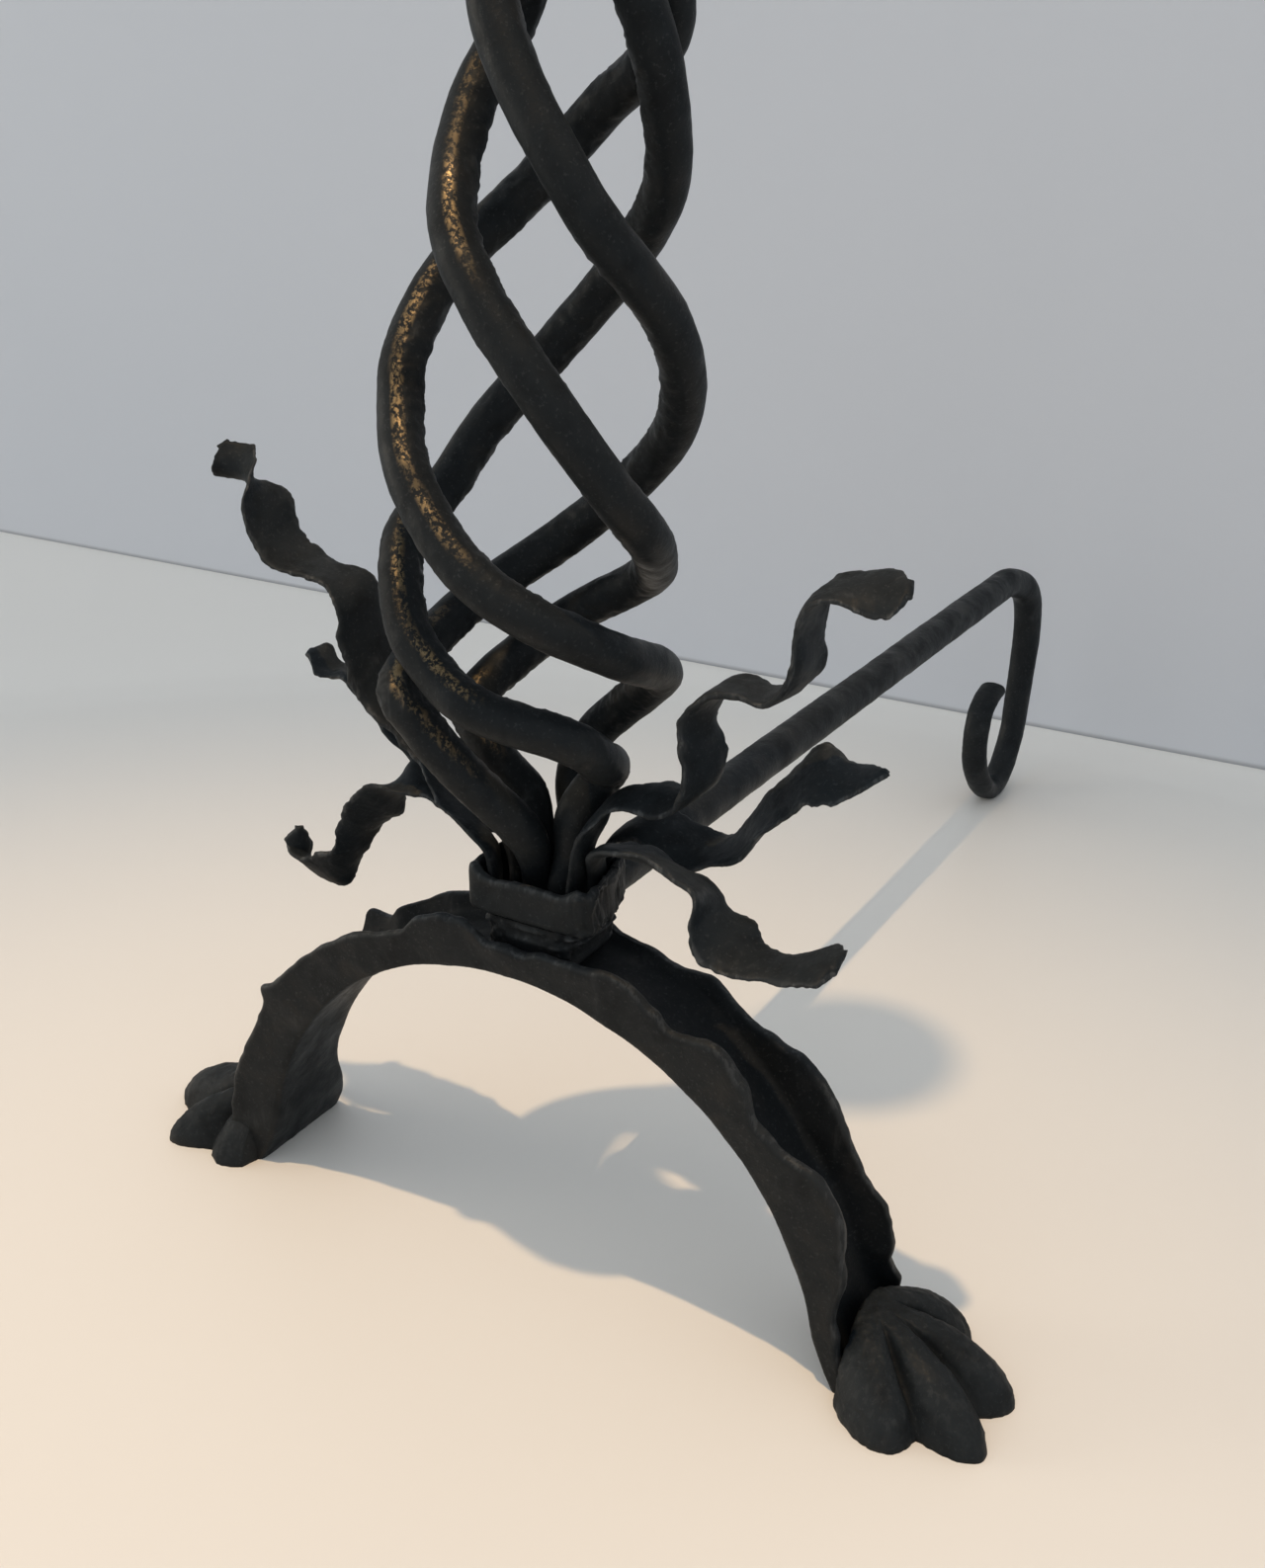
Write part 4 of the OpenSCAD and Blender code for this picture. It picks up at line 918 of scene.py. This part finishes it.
def forge_scale_group():
    """Shared effect over Object coordinates: mottled scale, fine grain, streaks, worn ridges, painted shade
    in the hollows and the bronze rub that paints the lamp's highlight.
    """
    found = bpy.data.node_groups.get("forge_scale")
    if found:
        return found
    tree = bpy.data.node_groups.new("forge_scale", "ShaderNodeTree")
    sockets = (
        ("INPUT", "NodeSocketColor", ("Iron", "Worn", "Glint", "Rust")),
        ("INPUT", "NodeSocketFloat", ("Sheen", "Wear", "Rust Amount")),
        ("OUTPUT", "NodeSocketColor", ("Color",)),
        ("OUTPUT", "NodeSocketFloat", ("Roughness", "Metal", "Height")),
    )
    for way, kind, labels in sockets:
        for label in labels:
            tree.interface.new_socket(label, in_out=way, socket_type=kind)

    link = tree.links.new
    enter = node_at(tree, "NodeGroupInput", -1200, 0)
    leave = node_at(tree, "NodeGroupOutput", 900, 0)
    place = node_at(tree, "ShaderNodeTexCoord", -1200, -300)
    mottle = node_at(
        tree, "ShaderNodeTexNoise", -950, 200, scale=70.0, detail=7.0, roughness=0.6, distortion=0.4
    )
    grain = node_at(tree, "ShaderNodeTexNoise", -950, -60, scale=850.0, detail=5.0, roughness=0.65)
    pits = node_at(tree, "ShaderNodeTexVoronoi", -950, -320, scale=420.0, randomness=1.0)
    slanted = node_at(tree, "ShaderNodeMapping", -1050, -560)
    slanted.inputs["Scale"].default_value = (1.0, 1.0, 0.18)
    slanted.inputs["Rotation"].default_value = (0.4, 0.5, 0.3)
    streak = node_at(tree, "ShaderNodeTexNoise", -850, -560, scale=420.0, detail=4.0, roughness=0.6)
    for node in (mottle, grain, pits, slanted):
        link(place.outputs["Object"], node.inputs["Vector"])
    link(slanted.outputs["Vector"], streak.inputs["Vector"])
    mottle, grain, streak = (node.outputs["Fac"] for node in (mottle, grain, streak))
    edge, hollow_shade, rub_highlight = (
        node_at(tree, "ShaderNodeAttribute", -950, y, attribute_name=key).outputs["Fac"]
        for key, y in (("edge", -800), ("hollow_shade", -960), ("rub_highlight", -1120))
    )

    def combined(operation, a, b, x, y):
        node = node_at(tree, "ShaderNodeMath", x, y, operation=operation)
        for number, value in enumerate((a, b)):
            if isinstance(value, float):
                node.inputs[number].default_value = value
            else:
                link(value, node.inputs[number])
        return node.outputs[0]

    def times(a, b, x, y):
        return combined("MULTIPLY", a, b, x, y)

    def plus(a, b, x, y):
        return combined("ADD", a, b, x, y)

    def larger(a, b, x, y):
        return combined("MAXIMUM", a, b, x, y)

    def span(value, low, high, x, y, *ends):
        node = ramp_at(tree, x, y, low, high, *ends)
        link(value, node.inputs["Value"])
        return node.outputs["Result"]

    # Masks: worn ridges with flecks, the broken bronze rub that paints the lamp's highlight, dark mottles
    # with painted shade in the hollows, and rust
    speckle = span(streak, 0.5, 0.62, -600, -560)
    broken = span(grain, 0.5, 0.6, -600, -60)
    fleck = times(span(grain, 0.57, 0.66, -600, -180), 0.2, -420, -180)
    worn = times(edge, enter.outputs["Wear"], -600, -800)
    worn = times(worn, plus(speckle, 0.35, -420, -650), -300, -800)
    worn = larger(worn, fleck, -200, -700)
    # Gold rub where the lamp's highlight falls, a painted highlight
    rubbed = times(rub_highlight, larger(speckle, broken, -420, -1000), -300, -1050)
    mottle_and_shade = larger(span(mottle, 0.46, 0.72, -600, 200), hollow_shade, -450, 200)
    mottle_and_shade = times(mottle_and_shade, 0.75, -380, 150)
    rusty = times(span(mottle, 0.5, 0.28, -600, 420), enter.outputs["Rust Amount"], -420, 420)

    # Colour: iron that darkens in its mottles and to painted shade in the hollows, then rust, grey worn
    # edges and the bronze rub as a painted highlight over it
    base = blend_at(tree, -300, 250, mottle_and_shade, enter.outputs["Iron"], MOTTLE_AND_SHADE_COLOUR)
    base = blend_at(tree, -100, 300, rusty, base, enter.outputs["Rust"])
    base = blend_at(tree, 100, 250, worn, base, enter.outputs["Worn"])
    base = blend_at(tree, 300, 200, rubbed, base, enter.outputs["Glint"])

    # Roughness: the sheen made uneven, rougher in the hollows and smoother where rubbed
    gloss = plus(enter.outputs["Sheen"], span(mottle, 0.3, 0.7, 100, 0, -0.08, 0.14), 300, 0)
    gloss = plus(gloss, times(hollow_shade, 0.15, 300, -120), 500, 0)
    gloss = plus(gloss, times(rubbed, -0.16, 300, -240), 600, 0)
    metal = larger(times(rubbed, 0.9, 300, -400), times(worn, 0.6, 300, -520), 500, -400)

    # Height for the bump: mottle, grain and streaks, less the pits
    height = times(mottle, 0.6, 0, -700)
    height = plus(height, times(grain, 0.35, 0, -820), 200, -700)
    height = plus(height, times(streak, 0.25, 0, -940), 350, -700)
    pitted = times(span(pits.outputs["Distance"], 0.35, 0.0, 0, -1060), 0.12, 200, -1060)
    height = combined("SUBTRACT", height, pitted, 500, -700)
    for label, value in (("Color", base), ("Roughness", gloss), ("Metal", metal), ("Height", height)):
        link(value, leave.inputs[label])
    return tree


def iron_finish(slot):
    """Material of one of the record's slots, with the colours chosen in the panel."""
    found = bpy.data.materials.get(slot + "_finish")
    if found:
        return found
    colours = bpy.context.scene.andiron_finish
    rubbed = slot == "rubbed_iron"
    material, tree, shader = fresh_material(slot + "_finish")
    shader.inputs["Specular IOR Level"].default_value = 0.1
    shader.inputs["Coat Weight"].default_value = 0.02
    shader.inputs["Coat Roughness"].default_value = 0.32
    scale = node_at(tree, "ShaderNodeGroup", -500, 200)
    scale.node_tree = forge_scale_group()
    scale.inputs["Iron"].default_value = (*(colours.rubbed if rubbed else colours.iron), 1)
    for key in ("worn", "glint", "rust"):
        scale.inputs[key.title()].default_value = (*getattr(colours, key), 1)
    scale.inputs["Sheen"].default_value = colours.sheen + (0.1 if rubbed else 0.0)
    scale.inputs["Wear"].default_value = colours.wear * (1.2 if rubbed else 1.0)
    scale.inputs["Rust Amount"].default_value = 0.3 if rubbed else 0.4
    bump = node_at(tree, "ShaderNodeBump", -250, -150, strength=0.55, distance=0.0006)
    wire(
        tree,
        (scale, "Color", shader, "Base Color"),
        (scale, "Roughness", shader, "Roughness"),
        (scale, "Metal", shader, "Metallic"),
        (scale, "Height", bump, "Height"),
        (bump, "Normal", shader, "Normal"),
    )
    return material


def stage_finish(name, colour, roughness):
    """Plain matt colour with a faint cloudiness."""
    material, tree, shader = fresh_material(name)
    shader.inputs["Roughness"].default_value = roughness
    shader.inputs["Specular IOR Level"].default_value = 0.3
    place = node_at(tree, "ShaderNodeTexCoord", -800, 0)
    cloud = node_at(tree, "ShaderNodeTexNoise", -600, 0, scale=2.5, detail=3.0)
    tree.links.new(place.outputs["Object"], cloud.inputs["Vector"])
    darker = (*(0.95 * c for c in colour), 1)
    base = blend_at(tree, -300, 0, cloud.outputs["Fac"], (*colour, 1), darker)
    tree.links.new(base, shader.inputs["Base Color"])
    return material


def paint_joint_shadow(material):
    """Paints a shadow on the foot of the wall, where it meets the table, by the height over the table."""
    tree = material.node_tree
    base = tree.nodes["Principled BSDF"].inputs["Base Color"]
    place = node_at(tree, "ShaderNodeTexCoord", -800, 300)
    split = node_at(tree, "ShaderNodeSeparateXYZ", -600, 300)
    rise = ramp_at(tree, -400, 300, 0.0, JOINT_SHADOW_HEIGHT, JOINT_SHADOW_SHARE, 0.0)
    shaded = blend_at(tree, -150, 300, rise.outputs["Result"], base.links[0].from_socket, JOINT_SHADOW_COLOUR)
    wire(tree, (place, "Object", split, "Vector"), (split, "Z", rise, "Value"))
    tree.links.new(shaded, base)


def one_sided(material):
    """Lets a wall be seen through from behind, so that views from the back show the andiron."""
    tree = material.node_tree
    side = node_at(tree, "ShaderNodeNewGeometry", 0, 300)
    clear = node_at(tree, "ShaderNodeBsdfTransparent", 0, -300)
    choose = node_at(tree, "ShaderNodeMixShader", 250, 100)
    wire(
        tree,
        (side, "Backfacing", choose, 0),
        (tree.nodes["Principled BSDF"], 0, choose, 1),
        (clear, 0, choose, 2),
        (choose, 0, tree.nodes["Material Output"], "Surface"),
    )


# --- Stage


def back_wall(values):
    """Wall behind the andiron, a little askew, which throws no shadow."""
    finish = stage_finish("wall_finish", values.wall, 0.6)
    # Painted shadow along its foot
    paint_joint_shadow(finish)
    one_sided(finish)
    half = TABLE_SIZE / 2
    ends = ((-half, 0), (half, 0), (half, WALL_HEIGHT), (-half, WALL_HEIGHT))
    corners = [(x, values.wall_distance + WALL_SLOPE * x, z) for x, z in ends]
    mesh = bpy.data.meshes.new("wall")
    mesh.from_pydata(corners, [], [(0, 1, 2, 3)])
    mesh.materials.append(finish)
    wall = bpy.data.objects.new("wall", mesh)
    wall.visible_shadow = False
    return wall


def ceiling_lamp(power):
    """Small warm spot high over the front, whose cone fades out from its middle."""
    lamp = bpy.data.lights.new("ceiling_lamp", "SPOT")
    lamp.energy = power
    lamp.color = LAMP_COLOUR
    lamp.spot_size = LAMP_CONE
    lamp.spot_blend = 1.0
    lamp.shadow_soft_size = LAMP_RADIUS
    source = bpy.data.objects.new("ceiling_lamp", lamp)
    source.location = Vector(LAMP_PLACE)
    source.rotation_euler = (Vector(LAMP_AIM) - source.location).to_track_quat("-Z", "Y").to_euler()
    return source


def room_light(sky, window):
    """World with even light and a warm window on the left, seen by the camera as a plain grey."""
    world = bpy.data.worlds.new("room")
    world.use_nodes = True
    tree = world.node_tree
    even = tree.nodes["Background"]
    even.inputs["Color"].default_value = ROOM_COLOUR
    even.inputs["Strength"].default_value = sky
    place = node_at(tree, "ShaderNodeTexCoord", -1000, -300)
    towards = node_at(tree, "ShaderNodeVectorMath", -800, -300, operation="DOT_PRODUCT")
    towards.inputs[1].default_value = Vector(WINDOW_SIDE).normalized()
    patch = ramp_at(tree, -600, -300, *WINDOW_FADE, 0.0, window)
    pane = node_at(tree, "ShaderNodeBackground", -300, -300)
    pane.inputs["Color"].default_value = WINDOW_COLOUR
    both = node_at(tree, "ShaderNodeAddShader", 0, -100)
    seen = node_at(tree, "ShaderNodeBackground", 0, -400)
    seen.inputs["Color"].default_value = SEEN_COLOUR
    path = node_at(tree, "ShaderNodeLightPath", -300, 200)
    choose = node_at(tree, "ShaderNodeMixShader", 300, 0)
    wire(
        tree,
        (place, "Generated", towards, 0),
        (towards, "Value", patch, "Value"),
        (patch, "Result", pane, "Strength"),
        (even, 0, both, 0),
        (pane, 0, both, 1),
        (path, "Is Camera Ray", choose, 0),
        (both, 0, choose, 1),
        (seen, 0, choose, 2),
        (choose, 0, tree.nodes["World Output"], "Surface"),
    )
    return world


def photo_camera():
    """Camera at the photograph's place, turned by its yaw, then its pitch, then its roll."""
    data = bpy.data.cameras.new("eye")
    data.sensor_width = SENSOR_WIDTH
    data.lens = EYE_LENS
    yaw, pitch, roll = (math.radians(k) for k in (EYE_YAW, EYE_PITCH, EYE_ROLL))
    ahead = Vector((-math.sin(yaw) * math.cos(pitch), math.cos(yaw) * math.cos(pitch), -math.sin(pitch)))
    level = Vector((math.cos(yaw), math.sin(yaw), 0))
    upright = level.cross(ahead)
    right = level * math.cos(roll) + upright * math.sin(roll)
    up = upright * math.cos(roll) - level * math.sin(roll)
    turn = Matrix((right, up, -ahead)).transposed().to_4x4()
    camera = bpy.data.objects.new("eye", data)
    camera.matrix_world = Matrix.Translation(Vector(EYE) * MM) @ turn
    return camera


# --- Settings


class AndironFinish(bpy.types.PropertyGroup):
    """Colours and sheen of the iron."""

    iron: bpy.props.FloatVectorProperty(
        name="Blackened iron", description="Colour of the dark scale",
        subtype="COLOR", size=3, min=0, max=1, default=(0.0105, 0.0125, 0.0140),
    )
    rubbed: bpy.props.FloatVectorProperty(
        name="Rubbed iron", description="Colour of the paws, leaves and finial",
        subtype="COLOR", size=3, min=0, max=1, default=(0.0120, 0.0150, 0.0175),
    )
    worn: bpy.props.FloatVectorProperty(
        name="Worn edges", description="Colour where edges are rubbed to grey metal",
        subtype="COLOR", size=3, min=0, max=1, default=(0.085, 0.088, 0.09),
    )
    # Bronze of the rubbed bars, bright enough to stand as a painted highlight of the lamp
    glint: bpy.props.FloatVectorProperty(
        name="Bronze rub", description="Colour of the rubbed outer sides of the basket bars",
        subtype="COLOR", size=3, min=0, max=1, default=(0.28, 0.20, 0.105),
    )
    rust: bpy.props.FloatVectorProperty(
        name="Rust tint", description="Colour of the faint rust in the scale",
        subtype="COLOR", size=3, min=0, max=1, default=(0.020, 0.018, 0.016),
    )
    sheen: bpy.props.FloatProperty(
        name="Roughness", description="Middle roughness of the waxed surface",
        subtype="FACTOR", min=0.1, max=0.9, default=0.48,
    )
    wear: bpy.props.FloatProperty(
        name="Edge wear", description="How far the edges are rubbed",
        subtype="FACTOR", min=0.0, max=1.0, default=0.55,
    )


class AndironStage(bpy.types.PropertyGroup):
    """Floor, wall and light."""

    floor: bpy.props.FloatVectorProperty(
        name="Floor", description="Colour of the table",
        subtype="COLOR", size=3, min=0, max=1, default=(0.8, 0.77, 0.73),
    )
    wall: bpy.props.FloatVectorProperty(
        name="Wall", description="Colour of the wall behind",
        subtype="COLOR", size=3, min=0, max=1, default=(0.61, 0.62, 0.657),
    )
    lamp_power: bpy.props.FloatProperty(
        name="Lamp", description="Power of the lamp above",
        unit="POWER", min=0.0, default=84.0,
    )
    sky: bpy.props.FloatProperty(
        name="Room light", description="Strength of the even light from all round",
        subtype="FACTOR", min=0.0, max=1.0, default=0.77,
    )
    window: bpy.props.FloatProperty(
        name="Window", description="Strength of the warm window on the left",
        subtype="FACTOR", min=0.0, max=20.0, default=5.0,
    )
    wall_distance: bpy.props.FloatProperty(
        name="Wall distance", description="From the middle of the andiron to the wall",
        unit="LENGTH", subtype="DISTANCE", default=0.373,
    )


# --- Operators


class ANDIRON_OT_stage(bpy.types.Operator):
    """Pale floor and wall, a soft warm lamp above, room light, and the camera at the photograph's angle."""

    bl_idname = "andiron.stage"
    bl_label = "Stage"

    def execute(self, context):
        scene = context.scene
        values = scene.andiron_stage
        bpy.ops.mesh.primitive_plane_add(size=TABLE_SIZE, location=(0, 0, 0))
        floor = context.active_object
        floor.name = "table"
        floor.data.materials.append(stage_finish("table_finish", values.floor, 0.45))
        wall = back_wall(values)
        scene.collection.objects.link(wall)
        scene.collection.objects.link(ceiling_lamp(values.lamp_power))
        scene.world = room_light(values.sky, values.window)
        scene.view_settings.view_transform = "Standard"
        scene.camera = photo_camera()
        scene.collection.objects.link(scene.camera)
        return {"FINISHED"}


class ANDIRON_OT_arch(bpy.types.Operator):
    """Channel bar of the front arch, with hammered flange edges."""

    bl_idname = "andiron.arch"
    bl_label = "Front arch"

    def execute(self, context):
        put("arch", "blackened_iron", arch_surface())
        return {"FINISHED"}


class ANDIRON_OT_paws(bpy.types.Operator):
    """Two clawed paws at the arch's feet."""

    bl_idname = "andiron.paws"
    bl_label = "Paws"

    def execute(self, context):
        put("right_paw", "rubbed_iron", paw_surface(RIGHT_TOES, RIGHT_REACH, 1, 41))
        put("left_paw", "rubbed_iron", paw_surface(LEFT_TOES, LEFT_REACH, -1, 45))
        return {"FINISHED"}


class ANDIRON_OT_seat(bpy.types.Operator):
    """Collar band, the core block under it and the finish of the washer."""

    bl_idname = "andiron.seat"
    bl_label = "Seat of the column"

    def execute(self, context):
        put("collar", "blackened_iron", collar_surface(), loop=True)
        put("core_block", "blackened_iron", core_surface())
        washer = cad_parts["tenon_washer"].data
        washer.materials.clear()
        washer.materials.append(iron_finish("blackened_iron"))
        return {"FINISHED"}


class ANDIRON_OT_basket(bpy.types.Operator):
    """Four round bars of the basket twist."""

    bl_idname = "andiron.basket"
    bl_label = "Basket bars"

    def execute(self, context):
        for number in range(len(BARS)):
            put(f"basket_bar_{number + 1}", "blackened_iron", bar_surface(number))
        return {"FINISHED"}


class ANDIRON_OT_leaves(bpy.types.Operator):
    """Six rippled leaves that spray from the collar."""

    bl_idname = "andiron.leaves"
    bl_label = "Leaves"

    def execute(self, context):
        for count, (name, (side, width, stations)) in enumerate(LEAVES.items()):
            put(name, "rubbed_iron", leaf_surface(side, width, stations, 61 + count))
        return {"FINISHED"}


class ANDIRON_OT_billet_bar(bpy.types.Operator):
    """Bar for the logs, with its rear leg and scroll."""

    bl_idname = "andiron.billet_bar"
    bl_label = "Billet bar"

    def execute(self, context):
        put("billet_bar", "blackened_iron", billet_surface())
        return {"FINISHED"}


class ANDIRON_OT_top(bpy.types.Operator):
    """Ring round the bars' upper ends and the ball finial on it."""

    bl_idname = "andiron.top"
    bl_label = "Ring and finial"

    def execute(self, context):
        put("top_ring", "blackened_iron", ring_surface(), loop=True)
        put("finial", "rubbed_iron", finial_surface())
        return {"FINISHED"}


class ANDIRON_PT_panel(bpy.types.Panel):
    """Lists the andiron's pieces and finishes."""

    bl_label = "Forged Andiron"
    bl_idname = "ANDIRON_PT_panel"
    bl_space_type = "VIEW_3D"
    bl_region_type = "UI"
    bl_category = "Andiron"

    def draw(self, context):
        for settings in (context.scene.andiron_finish, context.scene.andiron_stage):
            box = self.layout.box()
            for key in settings.__annotations__:
                box.prop(settings, key)
        for piece in PIECES:
            self.layout.operator(piece.bl_idname)


PIECES = (
    ANDIRON_OT_stage,
    ANDIRON_OT_arch,
    ANDIRON_OT_paws,
    ANDIRON_OT_seat,
    ANDIRON_OT_basket,
    ANDIRON_OT_leaves,
    ANDIRON_OT_billet_bar,
    ANDIRON_OT_top,
)
SETTINGS = (AndironFinish, AndironStage)


def register():
    """Registers the settings, the operators and the panel."""
    for kind in (*SETTINGS, *PIECES, ANDIRON_PT_panel):
        bpy.utils.register_class(kind)
    bpy.types.Scene.andiron_finish = bpy.props.PointerProperty(type=AndironFinish)
    bpy.types.Scene.andiron_stage = bpy.props.PointerProperty(type=AndironStage)


def unregister():
    """Takes the panel, the operators and the settings out again."""
    del bpy.types.Scene.andiron_finish
    del bpy.types.Scene.andiron_stage
    for kind in (ANDIRON_PT_panel, *reversed(PIECES), *reversed(SETTINGS)):
        bpy.utils.unregister_class(kind)


def main():
    """Builds every piece in order."""
    register()
    bpy.ops.andiron.stage()
    bpy.ops.andiron.arch()
    bpy.ops.andiron.paws()
    bpy.ops.andiron.seat()
    bpy.ops.andiron.basket()
    bpy.ops.andiron.leaves()
    bpy.ops.andiron.billet_bar()
    bpy.ops.andiron.top()


if __name__ == "__main__":
    main()
